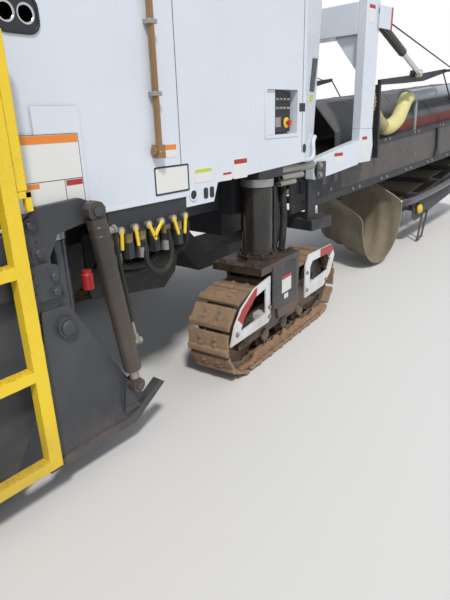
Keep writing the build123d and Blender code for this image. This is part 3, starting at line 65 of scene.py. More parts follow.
SWING_X = 1.2
LIFT_AT = (1.105, 0.0, 1.19)
FOLD_AT = (5.25, 0.0, -0.404)
FACE = -1.21
RIGHT = (0, -1, 0)
ROOF = 2.64
AXLE_Z = 0.3
WHEEL_X = 0.57
LEG_BACK = 0.215

# Each track's name, the X and Y of its middle and the angle it is steered to

TRACKS = (
    ("front_right", 0.04, -1.088, 5.0),
    ("front_left", 0.04, 1.088, 5.0),
    ("rear_right", -5.375, -1.088, 0.0),
    ("rear_left", -5.375, 1.088, 0.0),
)


# Sizes and colours that a user would change


class PlanerSizes(bpy.types.PropertyGroup):
    shoe_count: bpy.props.IntProperty(
        name="Shoes", description="Shoes in one crawler track", default=24, min=12, max=60)
    shoe_gap: bpy.props.FloatProperty(
        name="Shoe gap", description="Gap between two shoes", default=0.011, unit="LENGTH")
    hose_size: bpy.props.FloatProperty(
        name="Hose size", description="Diameter of the corrugated leg hoses", default=0.054, unit="LENGTH")
    dust_hose_size: bpy.props.FloatProperty(
        name="Dust hose", description="Diameter of the pale dust hose", default=0.16, unit="LENGTH")
    pick_count: bpy.props.IntProperty(
        name="Picks", description="Picks round the cutter drum", default=150, min=20, max=300)
    soil_height: bpy.props.FloatProperty(
        name="Soil height", description="Height up to which soil clings", default=0.9, unit="LENGTH")


class PlanerColours(bpy.types.PropertyGroup):
    # Body white's default is the paint's white with the blue cast of its shade painted in
    white: bpy.props.FloatVectorProperty(
        name="Body white", description="Paint of the tank and guards", subtype="COLOR",
        size=3, default=(0.62, 0.66, 0.72))
    dark: bpy.props.FloatVectorProperty(
        name="Frame grey", description="Paint of the frame and side plates", subtype="COLOR",
        size=3, default=(0.024, 0.026, 0.03))
    yellow: bpy.props.FloatVectorProperty(
        name="Ladder yellow", description="Paint of ladders and rails", subtype="COLOR",
        size=3, default=(0.78, 0.55, 0.02))
    soil: bpy.props.FloatVectorProperty(
        name="Soil", description="Dried earth on the running gear", subtype="COLOR",
        size=3, default=(0.27, 0.15, 0.085))
    signal: bpy.props.FloatVectorProperty(
        name="Signal red", description="Red of the bands and lamps", subtype="COLOR",
        size=3, default=(0.38, 0.016, 0.018))


# Places of the moving parts as parked. HERE leaves a shape where it is drawn


def shift(x, y, z):
    """Matrix that moves by (x, y, z)."""
    m = np.eye(4)
    m[:3, 3] = (x, y, z)
    return m


def spin(axis, degrees):
    """Matrix that turns about a main axis through the origin."""
    return np.array(Matrix.Rotation(math.radians(degrees), 4, axis))


SWING = shift(SWING_X, 0, 0) @ spin("Z", -5) @ shift(-SWING_X, 0, 0)
LIFT = SWING @ shift(*LIFT_AT) @ spin("Y", -4)
FOLD = LIFT @ shift(*FOLD_AT) @ spin("Y", 173)
HERE = np.eye(4)


def track_matrix(x, y, angle):
    """Place of one track: turned about its leg."""
    leg = x - LEG_BACK
    return shift(leg, y, 0) @ spin("Z", angle) @ shift(-leg, -y, 0)


# Surfaces worked out with numpy. A shape is (points, list of face arrays)


def grid(rows, cols, wrap_rows=False, wrap_cols=False):
    """Quads between neighbouring points of a grid numbered row by row."""
    i = np.arange(rows if wrap_rows else rows - 1)
    j = np.arange(cols if wrap_cols else cols - 1)
    a, b = np.meshgrid(i, j, indexing="ij")
    n, m = (a + 1) % rows, (b + 1) % cols
    return np.stack([a * cols + b, n * cols + b, n * cols + m, a * cols + m], -1).reshape(-1, 4)


def rings(points, closed=False):
    """Surface through a stack of rings (stations, around, 3), capped at both ends unless it is closed."""
    count, around = points.shape[:2]
    faces = [grid(count, around, closed, True)]
    if not closed:
        faces.append(np.arange(around)[::-1].reshape(1, -1))
        faces.append((count - 1) * around + np.arange(around).reshape(1, -1))
    return points.reshape(-1, 3), faces


def join(*shapes):
    """Several shapes as one: the points follow each other and the face numbers shift with them."""
    points, faces, start = [], [], 0
    for p, f in shapes:
        points.append(p)
        faces += [a + start for a in f]
        start += len(p)
    return np.concatenate(points), faces


def moved(shape, matrix):
    """The shape with each point multiplied by the matrix."""
    p, f = shape
    return p @ matrix[:3, :3].T + matrix[:3, 3], f


def stamp(shape, matrices):
    """Copies of a shape, one for each matrix in a (count, 4, 4) stack."""
    p, f = shape
    m = np.asarray(matrices, float)
    points = np.einsum("kij,nj->kni", m[:, :3, :3], p) + m[:, None, :3, 3]
    offsets = np.arange(len(m)) * len(p)
    faces = [(a[None] + offsets[:, None, None]).reshape(-1, a.shape[1]) for a in f]
    return points.reshape(-1, 3), faces


PLANES = {"xz": (0, 2, 1), "xy": (0, 1, 2), "yz": (1, 2, 0)}


def layer(outline, plane, depth):
    """The outline's points laid in a plane at one depth."""
    u, v, w = PLANES[plane]
    points = np.zeros((len(outline), 3))
    points[:, u], points[:, v] = np.asarray(outline, float).T
    points[:, w] = depth
    return points


def slab(outline, low, high, plane="xz"):
    """An outline carried straight from one depth to another."""
    return rings(np.stack([layer(outline, plane, low), layer(outline, plane, high)]))


def rim(outline, window, low, high, plane="xz"):
    """A plate with a window of as many points: outer and inner edges joined round in a closed ring."""
    loops = [layer(outline, plane, low), layer(outline, plane, high),
             layer(window, plane, high), layer(window, plane, low)]
    return rings(np.stack(loops), closed=True)


def holed(outline, cx, cz, radius, low, high):
    """A convex plate with a round hole: each ray from the hole's centre gives a point of both edges."""
    p = np.asarray(outline, float) - (cx, cz)
    turn = np.unique(np.concatenate([np.arctan2(p[:, 1], p[:, 0]), np.radians(np.arange(-180, 180, 12))]))
    ray = np.stack([np.cos(turn), np.sin(turn)], -1)
    edge = np.roll(p, -1, 0) - p
    across = ray[:, :1] * edge[:, 1] - ray[:, 1:] * edge[:, 0]
    across = np.where(np.abs(across) < 1e-9, 1e-9, across)
    reach = (p[:, 0] * edge[:, 1] - p[:, 1] * edge[:, 0]) / across
    reach = np.where(reach > 0, reach, np.inf).min(1)[:, None]
    return rim(ray * reach + (cx, cz), ray * radius + (cx, cz), low, high)


def box(x0, x1, y0, y1, z0, z1):
    """A block between two corners."""
    return slab([(x0, z0), (x1, z0), (x1, z1), (x0, z1)], y0, y1)


def arc(cx, cy, radius, start, end, count):
    """Points on an arc: centre plus radius times cosine and sine, from start to end in degrees."""
    a = np.radians(np.linspace(start, end, count))
    return np.stack([cx + radius * np.cos(a), cy + radius * np.sin(a)], -1)


def rounded(x0, x1, z0, z1, radius, steps=4):
    """A rectangle with four arcs for corners."""
    corners = ((x1 - radius, z0 + radius, -90), (x1 - radius, z1 - radius, 0),
               (x0 + radius, z1 - radius, 90), (x0 + radius, z0 + radius, 180))
    return np.concatenate([arc(cx, cz, radius, a, a + 90, steps) for cx, cz, a in corners])


def unit(v):
    """Vectors divided by their lengths."""
    return v / np.maximum(np.linalg.norm(v, axis=-1, keepdims=True), 1e-9)


def smooth_path(points, count=48):
    """Catmull-Rom curve: each stretch is a cubic through its two points with slopes from their neighbours."""
    p = np.asarray(points, float)
    p = np.concatenate([[2 * p[0] - p[1]], p, [2 * p[-1] - p[-2]]])
    t = np.linspace(0, len(p) - 3 - 1e-6, count)
    i = t.astype(int)
    f = (t - i)[:, None]
    a, b, c, d = p[i], p[i + 1], p[i + 2], p[i + 3]
    square, cube = 2 * a - 5 * b + 4 * c - d, 3 * b - a - 3 * c + d
    return 0.5 * (2 * b + (c - a) * f + square * f ** 2 + cube * f ** 3)


def tube(points, radius, count=40, sides=10):
    """A round tube along a smooth curve."""
    return sweep(smooth_path(points, count), radius, sides)


def sweep(path, radius, sides=10, closed=False, flat=1.0):
    """A round tube: every point of the path gets a circle across its tangent, radius may vary along it."""
    path = np.asarray(path, float)
    if closed:
        tangent = unit(np.roll(path, -1, 0) - np.roll(path, 1, 0))
    else:
        tangent = unit(np.gradient(path, axis=0))
    spread = np.abs(tangent).mean(0)
    reference = np.eye(3)[int(np.argmin(spread))]
    u = unit(np.cross(tangent, reference))
    v = np.cross(tangent, u)
    a = np.linspace(0, 2 * np.pi, sides, endpoint=False)
    r = np.broadcast_to(radius, len(path))[:, None, None]
    ring = np.cos(a)[None, :, None] * u[:, None] + flat * np.sin(a)[None, :, None] * v[:, None]
    return rings(path[:, None] + r * ring, closed)


def bar(start, end, radius, sides=10):
    """A straight round bar."""
    return sweep(np.array([start, end], float), radius, sides)


def corrugated(points, radius, pitch=0.012, depth=0.08, sides=12):
    """A hose along a curve whose radius rises and falls as a cosine, once a pitch."""
    path = smooth_path(points, 400)
    length = np.linalg.norm(np.diff(path, axis=0), axis=1).sum()
    count = int(length / pitch) * 4
    path = smooth_path(points, count)
    wave = 1 - depth * (0.5 - 0.5 * np.cos(np.arange(count) * np.pi / 2))
    return sweep(path, radius * wave, sides)


def facing(direction, place=(0, 0, 0)):
    """Matrix that puts a shape's +Z along a direction and its origin at a place."""
    w = unit(np.asarray(direction, float))
    u = unit(np.cross(w, (0.0, 0.0, 1.0) if abs(w[2]) < 0.9 else (1.0, 0.0, 0.0)))
    m = np.eye(4)
    m[:3, 0], m[:3, 1], m[:3, 2], m[:3, 3] = u, np.cross(w, u), w, place
    return m


def lathe(profile, sides=24, place=(0, 0, 0), direction=(0, 0, 1), closed=False):
    """A profile of (height, radius) rows carried round an axis. Closed, it leaves a hole along the axis."""
    h, r = np.asarray(profile, float).T
    a = np.linspace(0, 2 * np.pi, sides, endpoint=False)
    points = np.stack([r[:, None] * np.cos(a), r[:, None] * np.sin(a),
                       np.broadcast_to(h[:, None], (len(h), sides))], -1)
    return moved(rings(points, closed), facing(direction, place))


def bolt(size, height=0.6, washer=0.25):
    """A hexagon head with a chamfered top on a round washer."""
    a = size / math.sqrt(3)
    disc = lathe([(0, a * 1.45), (size * washer * 0.5, a * 1.45)], 12)
    head = lathe([(0, a), (size * height * 0.85, a), (size * height, a * 0.82)], 6)
    return join(disc, head)


def bolts(places, direction, size):
    """Bolt heads at a list of places, all facing one way."""
    return stamp(bolt(size), [facing(direction, place) for place in places])


def both(*shapes):
    """Shapes followed by their images on the other side of the machine: y changes sign, faces turn round."""
    points, faces = join(*shapes)
    return join((points, faces), (points * (1, -1, 1), [a[:, ::-1] for a in faces]))


def skin(outline, y, thick):
    """A thin plate laid on a side face: its thickness goes away from the machine's middle plane."""
    return slab(outline, y, y + math.copysign(thick, y))


# Putting a shape into the scene


MATERIALS = {}


def piece(name, shape, look, body="chassis", slot=None, bevel=0.0, smooth=True, steps=2, blend=None,
          squash=None, stands_for=()):
    """Mesh object from a shape: faces turned outwards, edges over 35 degrees kept sharp."""
    points, faces = shape
    mesh = bpy.data.meshes.new(name)
    mesh.from_pydata(points.tolist(), [], [row for a in faces for row in a.tolist()])
    work = bmesh.new()
    work.from_mesh(mesh)
    bmesh.ops.recalc_face_normals(work, faces=work.faces)
    work.to_mesh(mesh)
    work.free()
    if smooth:
        mesh.polygons.foreach_set("use_smooth", np.ones(len(mesh.polygons), bool))
        mesh.set_sharp_from_angle(angle=math.radians(35))
    item = bpy.data.objects.new(name, mesh)
    bpy.context.scene.collection.objects.link(item)
    mesh.materials.append(MATERIALS[look])
    if bevel:
        edge = item.modifiers.new("Rounded edges", "BEVEL")
        edge.width = bevel
        edge.segments = steps
        edge.limit_method = "ANGLE"
        edge.angle_limit = math.radians(40)
    if stands_for:
        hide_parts(*stands_for)
    if blend:
        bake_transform(item)
    else:
        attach(item, body)
    if squash:
        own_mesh(item)


# Finishes


def node(tree, kind, **settings):
    """A new node with its settings."""
    made = tree.nodes.new(kind)
    for key, value in settings.items():
        setattr(made, key, value)
    return made


def feed(tree, socket, value):
    """Link a socket, or set its plain value."""
    if isinstance(value, bpy.types.NodeSocket):
        tree.links.new(value, socket)
    else:
        socket.default_value = value


def colour4(colour):
    """A colour with its fourth channel."""
    return (*colour[:3], 1.0)


def blend_colour(tree, factor, a, b):
    """Mix two colours by a factor."""
    made = node(tree, "ShaderNodeMix", data_type="RGBA")
    for index, value in ((0, factor), (6, a), (7, b)):
        feed(tree, made.inputs[index], colour4(value) if isinstance(value, tuple) else value)
    return made.outputs[2]


def calc(tree, operation, a, b=0.0, clamp=False):
    """One step of arithmetic."""
    made = node(tree, "ShaderNodeMath", operation=operation, use_clamp=clamp)
    feed(tree, made.inputs[0], a)
    feed(tree, made.inputs[1], b)
    return made.outputs[0]


def remap(tree, value, low, high, to_low=0.0, to_high=1.0):
    """Stretch a value from one range to another."""
    made = node(tree, "ShaderNodeMapRange")
    for index, part in enumerate((value, low, high, to_low, to_high)):
        feed(tree, made.inputs[index], part)
    return made.outputs[0]


def object_place(tree):
    """Object coordinates."""
    return node(tree, "ShaderNodeTexCoord").outputs["Object"]


def surface_normal(tree):
    """The surface's normal, without any bump."""
    return node(tree, "ShaderNodeNewGeometry").outputs["Normal"]


def height_of(tree, vector):
    """The third part of a vector."""
    made = node(tree, "ShaderNodeSeparateXYZ")
    tree.links.new(vector, made.inputs[0])
    return made.outputs[2]


def cloud(tree, vector, scale, detail=4.0, rough=0.55, stretch=None):
    """Noise on object coordinates, drawn out along an axis where stretch says so."""
    if stretch:
        mapping = node(tree, "ShaderNodeMapping")
        mapping.inputs["Scale"].default_value = stretch
        tree.links.new(vector, mapping.inputs["Vector"])
        vector = mapping.outputs[0]
    made = node(tree, "ShaderNodeTexNoise")
    for title, value in (("Vector", vector), ("Scale", scale), ("Detail", detail), ("Roughness", rough)):
        feed(tree, made.inputs[title], value)
    return made.outputs[0]


def new_group(name, **inputs):
    """A node group with float inputs and one mask as its output."""
    tree = bpy.data.node_groups.new(name, "ShaderNodeTree")
    for title, value in inputs.items():
        socket = tree.interface.new_socket(title, in_out="INPUT", socket_type="NodeSocketFloat")
        socket.default_value = value
    tree.interface.new_socket("Mask", in_out="OUTPUT", socket_type="NodeSocketFloat")
    source, sink = node(tree, "NodeGroupInput"), node(tree, "NodeGroupOutput")
    return tree, source.outputs, sink.inputs["Mask"], object_place(tree)


def soil_group():
    """Soil mask: full low down, fading out at a height, patchy, and thicker on faces that look up."""
    tree, given, mask, place = new_group("Soil", Height=0.9, Amount=1.0, Scale=5.0, Top=0.42)
    patches = cloud(tree, place, given["Scale"], 6.0, 0.65)
    wander = calc(tree, "MULTIPLY", calc(tree, "SUBTRACT", patches, 0.5), 1.6)
    level = calc(tree, "DIVIDE", height_of(tree, place), given["Height"])
    low = calc(tree, "ADD", calc(tree, "SUBTRACT", 1.0, level), wander)
    up = calc(tree, "MULTIPLY", remap(tree, height_of(tree, surface_normal(tree)), 0.35, 1.0), given["Top"])
    settled = calc(tree, "MULTIPLY", up, remap(tree, patches, 0.35, 0.65))
    total = calc(tree, "ADD", remap(tree, low, 0.05, 0.95), settled)
    tree.links.new(calc(tree, "MULTIPLY", total, given["Amount"], True), mask)


def wear_group():
    """Wear mask: where the rounded normal leaves the flat one, broken up by noise."""
    tree, given, mask, place = new_group("Edge wear", Width=0.006, Amount=1.0, Scale=30.0)
    soft = node(tree, "ShaderNodeBevel", samples=4)
    tree.links.new(given["Width"], soft.inputs["Radius"])
    dot = node(tree, "ShaderNodeVectorMath", operation="DOT_PRODUCT")
    tree.links.new(soft.outputs[0], dot.inputs[0])
    tree.links.new(surface_normal(tree), dot.inputs[1])
    edge = remap(tree, calc(tree, "SUBTRACT", 1.0, dot.outputs["Value"]), 0.01, 0.2)
    rough = remap(tree, cloud(tree, place, given["Scale"], 5.0, 0.7), 0.42, 0.6)
    worn = calc(tree, "MULTIPLY", calc(tree, "MULTIPLY", edge, rough), given["Amount"], True)
    tree.links.new(worn, mask)


def streak_group():
    """Streak mask: noise drawn out downwards, as of water and grease that ran."""
    tree, given, mask, place = new_group("Streaks", Scale=12.0, Low=0.5, High=0.75)
    drawn = cloud(tree, place, given["Scale"], 4.0, 0.6, (1.0, 1.0, 0.09))
    tree.links.new(remap(tree, drawn, given["Low"], given["High"]), mask)


def speckle_group():
    """Speckle mask: small cells whose middles are dark, kept where a wide noise allows them."""
    tree, given, mask, place = new_group("Speckle", Scale=90.0, Size=0.25)
    cells = node(tree, "ShaderNodeTexVoronoi")
    tree.links.new(place, cells.inputs["Vector"])
    tree.links.new(given["Scale"], cells.inputs["Scale"])
    dots = remap(tree, cells.outputs["Distance"], given["Size"], 0.0)
    where = remap(tree, cloud(tree, place, 3.0), 0.5, 0.62)
    tree.links.new(calc(tree, "MULTIPLY", dots, where, True), mask)


def mask_from(tree, name, **values):
    """A group's mask with its own input values."""
    made = node(tree, "ShaderNodeGroup", node_tree=bpy.data.node_groups[name])
    for key, value in values.items():
        made.inputs[key.capitalize()].default_value = value
    return made.outputs["Mask"]


def finish(name, base, rough, metal=0.0, vary=0.12, wear=0.0, wear_colour=(0.25, 0.23, 0.2),
           wear_width=0.006, soil=0.6, soil_height=None, streaks=0.0, streak_colour=(0.1, 0.08, 0.06),
           speckle=0.0, bump=0.15, grain=160.0, coat=0.0, soil_colour=None, specular=0.5, top=0.42):
    """A painted or bare surface: base colour that drifts, streaks, speckles, worn edges, then soil on top."""
    scene = bpy.context.scene
    mat = bpy.data.materials.new(name)
    mat.use_nodes = True
    tree = mat.node_tree
    shader = tree.nodes["Principled BSDF"].inputs
    place = object_place(tree)
    dark = tuple(c * (1 - vary) for c in base)
    light = tuple(min(1.0, c * (1 + vary)) for c in base)
    colour = blend_colour(tree, remap(tree, cloud(tree, place, 2.3, 5.0, 0.6), 0.3, 0.7), dark, light)
    roughness = remap(tree, cloud(tree, place, 14.0), 0.3, 0.7, rough - 0.08, rough + 0.1)
    if streaks:
        mask = calc(tree, "MULTIPLY", mask_from(tree, "Streaks"), streaks)
        colour = blend_colour(tree, mask, colour, streak_colour)
        roughness = calc(tree, "ADD", roughness, calc(tree, "MULTIPLY", mask, 0.2))
    if speckle:
        mask = calc(tree, "MULTIPLY", mask_from(tree, "Speckle"), speckle)
        colour = blend_colour(tree, mask, colour, streak_colour)
    if wear:
        mask = mask_from(tree, "Edge wear", amount=wear, width=wear_width)
        colour = blend_colour(tree, mask, colour, wear_colour)
        roughness = calc(tree, "ADD", roughness, calc(tree, "MULTIPLY", mask, 0.15))
    height = cloud(tree, place, grain, 3.0)
    if soil:
        level = soil_height or scene.planer_sizes.soil_height
        mask = mask_from(tree, "Soil", amount=soil, height=level, top=top)
        earth = soil_colour or scene.planer_colours.soil
        damp, dry = (tuple(c * share for c in earth) for share in (0.6, 1.35))
        tone = blend_colour(tree, cloud(tree, place, 40.0, 5.0), damp, dry)
        colour = blend_colour(tree, mask, colour, tone)
        roughness = calc(tree, "ADD", roughness, calc(tree, "MULTIPLY", mask, 0.4), True)
        crust = calc(tree, "MULTIPLY", mask, cloud(tree, place, 55.0, 6.0, 0.7))
        height = calc(tree, "ADD", height, calc(tree, "MULTIPLY", crust, 3.0))
        metal = metal and calc(tree, "MULTIPLY", calc(tree, "SUBTRACT", 1.0, mask), metal, True)
    relief = node(tree, "ShaderNodeBump")
    relief.inputs["Strength"].default_value = bump
    relief.inputs["Distance"].default_value = 0.002
    tree.links.new(height, relief.inputs["Height"])
    for title, value in (("Normal", relief.outputs[0]), ("Base Color", colour), ("Roughness", roughness),
                         ("Metallic", metal), ("Specular IOR Level", specular), ("Coat Weight", coat),
                         ("Coat Roughness", 0.12)):
        feed(tree, shader[title], value)
    mat.diffuse_color = colour4(base)
    MATERIALS[name] = mat


class PLANER_OT_finishes(bpy.types.Operator):
    """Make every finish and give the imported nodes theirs"""

    bl_idname = "planer.finishes"
    bl_label = "Finishes"

    def execute(self, context):
        for make in (soil_group, wear_group, streak_group, speckle_group):
            make()
        self.paints(context.scene.planer_colours)
        self.metals()
        self.soft_and_small()
        self.dress_nodes()
        return {"FINISHED"}

    def paints(self, colours):
        """Paint of the body, frame, guards, cylinders, conveyor and signs."""
        white, dark, yellow, red = (tuple(c) for c in (colours.white, colours.dark, colours.yellow,
                                                       colours.signal))
        # Body white: the paint's white plus the blue cast of shade, painted in
        finish("white", white, 0.32, vary=0.03, wear=0.35, soil=0.45, soil_height=0.75,
               speckle=0.35, coat=0.3, bump=0.03)
        finish("guard white", (0.66, 0.67, 0.68), 0.4, vary=0.05, wear=0.5,
               wear_colour=(0.24, 0.16, 0.11), soil_height=0.5, speckle=0.6, coat=0.1)
        finish("frame grey", dark, 0.5, vary=0.2, wear=0.6, wear_colour=(0.1, 0.09, 0.08),
               soil=0.5, soil_height=0.95, soil_colour=(0.17, 0.15, 0.14), streaks=0.15,
               streak_colour=(0.07, 0.06, 0.05))
        finish("plate grey", (0.048, 0.052, 0.06), 0.5, vary=0.25, wear=0.8,
               wear_colour=(0.16, 0.15, 0.14), soil=0.45, soil_height=0.38, soil_colour=(0.18, 0.14, 0.11),
               streaks=0.25, streak_colour=(0.1, 0.09, 0.085))
        finish("yellow", yellow, 0.35, vary=0.06, wear=0.9, wear_colour=(0.12, 0.09, 0.06),
               soil=0.45, soil_height=0.55, speckle=0.8, coat=0.2)
        finish("cylinder paint", (0.045, 0.036, 0.03), 0.4, vary=0.25, wear=0.5,
               wear_colour=(0.16, 0.14, 0.12), soil=0.5, soil_height=0.9, soil_colour=(0.14, 0.1, 0.07),
               streaks=0.2, coat=0.2)
        finish("conveyor brown", (0.085, 0.077, 0.073), 0.55, vary=0.15, wear=0.5,
               wear_colour=(0.2, 0.16, 0.12), soil=0.45, soil_height=1.2, soil_colour=(0.17, 0.13, 0.1),
               streaks=0.35, streak_colour=(0.13, 0.1, 0.085))
        finish("grey cover", (0.085, 0.085, 0.088), 0.5, vary=0.15, wear=0.4, soil=0.5,
               soil_height=1.5, soil_colour=(0.17, 0.15, 0.13), streaks=0.3, streak_colour=(0.14, 0.13, 0.12))
        finish("duct grey", (0.28, 0.31, 0.34), 0.35, vary=0.08, soil=0.3, soil_height=1.4,
               soil_colour=(0.2, 0.17, 0.14), bump=0.05)
        finish("bumper blue", (0.035, 0.045, 0.06), 0.22, vary=0.1, soil=0.2, soil_height=1.2,
               coat=0.4, bump=0.03)
        finish("signal red", red, 0.4, vary=0.1, wear=0.5, soil=0.35, soil_height=0.6, coat=0.2)
        finish("label white", (0.68, 0.68, 0.66), 0.4, vary=0.03, soil=0.2, soil_height=0.9,
               speckle=0.3)
        for name, tone in (("label orange", (0.72, 0.22, 0.03)), ("label lime", (0.5, 0.55, 0.04))):
            finish(name, tone, 0.4, vary=0.05, soil=0.1, speckle=0.3)

    def metals(self):
        """Bare, rusty, greased and plated steel, brass and dried mud."""
        finish("rusty shoe", (0.2, 0.13, 0.085), 0.75, metal=0.2, vary=0.35, wear=0.9,
               wear_colour=(0.34, 0.3, 0.26), wear_width=0.01, soil=0.85, soil_height=1.1,
               soil_colour=(0.3, 0.2, 0.125), bump=0.7, grain=60.0, specular=0.3)
        finish("running gear", (0.036, 0.035, 0.035), 0.6, metal=0.2, vary=0.3, wear=0.4,
               soil=0.9, soil_height=0.5, soil_colour=(0.2, 0.15, 0.11), bump=0.5, grain=70.0, specular=0.3,
               top=0.05)
        finish("mud", (0.24, 0.17, 0.12), 0.9, vary=0.3, bump=1.0, grain=45.0, specular=0.15)
        finish("greasy column", (0.018, 0.015, 0.012), 0.38, vary=0.4, streaks=0.6,
               streak_colour=(0.075, 0.055, 0.035), soil=0.35, soil_height=0.85, bump=0.4, grain=40.0,
               coat=0.3)
        finish("chrome", (0.72, 0.72, 0.7), 0.16, metal=1.0, vary=0.04, streaks=0.3,
               streak_colour=(0.2, 0.17, 0.13), soil=0.0, bump=0.03)
        finish("dull steel", (0.4, 0.39, 0.37), 0.42, metal=0.85, vary=0.1, wear=0.3,
               wear_colour=(0.6, 0.6, 0.58), soil=0.4, soil_height=0.8, speckle=0.4)
        finish("bolt zinc", (0.34, 0.33, 0.3), 0.45, metal=0.7, vary=0.2, soil=0.5, soil_height=0.9,
               speckle=0.5)
        finish("drum steel", (0.12, 0.1, 0.085), 0.6, metal=0.5, vary=0.3, wear=0.9,
               wear_colour=(0.4, 0.38, 0.35), soil_height=1.1, bump=0.5, grain=50.0)
        finish("brass", (0.35, 0.27, 0.13), 0.4, metal=0.6, vary=0.2, soil=0.5, soil_height=1.4)

    def soft_and_small(self):
        """Rubber, plastic, hoses, lamps, seams and screens."""
        finish("belt", (0.25, 0.22, 0.16), 0.8, vary=0.25, soil=0.5, soil_height=0.9,
               soil_colour=(0.22, 0.17, 0.12), streaks=0.2, streak_colour=(0.05, 0.045, 0.035), bump=0.5,
               grain=90.0, specular=0.25)
        finish("rubber", (0.02, 0.02, 0.019), 0.62, vary=0.25, soil=0.45, soil_height=1.0,
               soil_colour=(0.12, 0.1, 0.08), bump=0.2, specular=0.4)
        # This black is also laid over holes and openings as painted shade
        finish("black plastic", (0.018, 0.018, 0.02), 0.4, vary=0.2, soil=0.3,
               soil_height=1.0, soil_colour=(0.12, 0.1, 0.08), bump=0.1)
        finish("brown tube", (0.22, 0.12, 0.045), 0.3, vary=0.15, soil=0.15, streaks=0.4,
               coat=0.4, bump=0.05)
        finish("mesh hose", (0.3, 0.25, 0.13), 0.6, vary=0.15, soil=0.4, soil_height=1.6,
               soil_colour=(0.2, 0.16, 0.1), bump=0.4, grain=90.0)
        finish("pale hose", (0.62, 0.56, 0.24), 0.5, vary=0.1, soil=0.35, soil_height=1.6,
               soil_colour=(0.3, 0.25, 0.17), bump=0.1)
        finish("lamp red", (0.42, 0.012, 0.01), 0.15, vary=0.05, soil=0.25, soil_height=1.4,
               coat=0.6, bump=0.02)
        finish("skirt red", (0.15, 0.035, 0.026), 0.6, vary=0.25, soil=0.4, soil_height=1.6,
               soil_colour=(0.14, 0.1, 0.08))
        finish("seam", (0.1, 0.105, 0.115), 0.6, vary=0.1, soil=0.3)
        # This black is also laid over the gauge recess and the wall's slots as painted shade
        finish("screen", (0.012, 0.014, 0.018), 0.12, vary=0.1, soil=0.1, coat=0.5,
               bump=0.01)

    def dress_nodes(self):
        """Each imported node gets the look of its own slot, or one chosen for it by name."""
        looks = {
            "white_paint": "white", "frame_paint": "frame grey", "yellow_paint": "yellow",
            "rusty_steel": "running gear", "greased_steel": "greasy column", "chrome_rod": "chrome",
            "cylinder_paint": "cylinder paint", "belt_rubber": "belt", "grey_cover": "grey cover",
            "drum_steel": "drum steel", "lamp_red": "lamp red", "black_plastic": "black plastic",
            "brown_tube": "brown tube", "steel": "dull steel",
        }
        own = {"conveyor_frame": "conveyor brown", "scraper": "plate grey"}
        for hand in ("right", "left"):
            own |= {"side_plate_" + hand: "plate grey", "skid_" + hand: "plate grey"}
            own["skid_rod_" + hand] = "cylinder paint"
        own |= {"track_guards_" + track[0]: "guard white" for track in TRACKS}
        for name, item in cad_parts.items():
            slots = [s.material.name.split(".")[0] if s.material else "" for s in item.material_slots]
            look = own.get(name) or next((looks[s] for s in slots if s in looks), "frame grey")
            if not item.material_slots:
                item.data.materials.append(MATERIALS[look])
            for entry in item.material_slots:
                entry.material = MATERIALS[look]


# Crawler tracks


def track_line(count, radius=0.262, straight=1.14):
    """Points and outward angles, equally spaced, round two straights joined by half circles."""
    arc_length = math.pi * radius
    total = 2 * (straight + arc_length)
    s = (np.arange(count) + 0.5) * total / count
    half = straight / 2
    bands = [s < straight, s < straight + arc_length, s < 2 * straight + arc_length]
    turn = np.select(bands, [np.pi / 2, np.pi / 2 - (s - straight) / radius, -np.pi / 2],
                     -np.pi / 2 - (s - 2 * straight - arc_length) / radius)
    centre = np.select(bands, [-half + s, half, half - (s - straight - arc_length)], -half)
    flat = bands[0] | (bands[2] & ~bands[1])
    x = centre + np.where(flat, 0, radius * np.cos(turn))
    z = AXLE_Z + np.where(flat, np.sign(np.sin(turn)) * radius, radius * np.sin(turn))
    return x, z, turn, total / count


def track_places(count):
    """Matrices with +X along the chain and +Z outwards at each place round the track."""
    x, z, turn, pitch = track_line(count)
    m = np.zeros((count, 4, 4))
    m[:, 0, 0], m[:, 2, 0] = np.sin(turn), -np.cos(turn)
    m[:, 1, 1] = 1
    m[:, 0, 2], m[:, 2, 2] = np.cos(turn), np.sin(turn)
    m[:, 0, 3], m[:, 2, 3], m[:, 3, 3] = x, z, 1
    return m, pitch


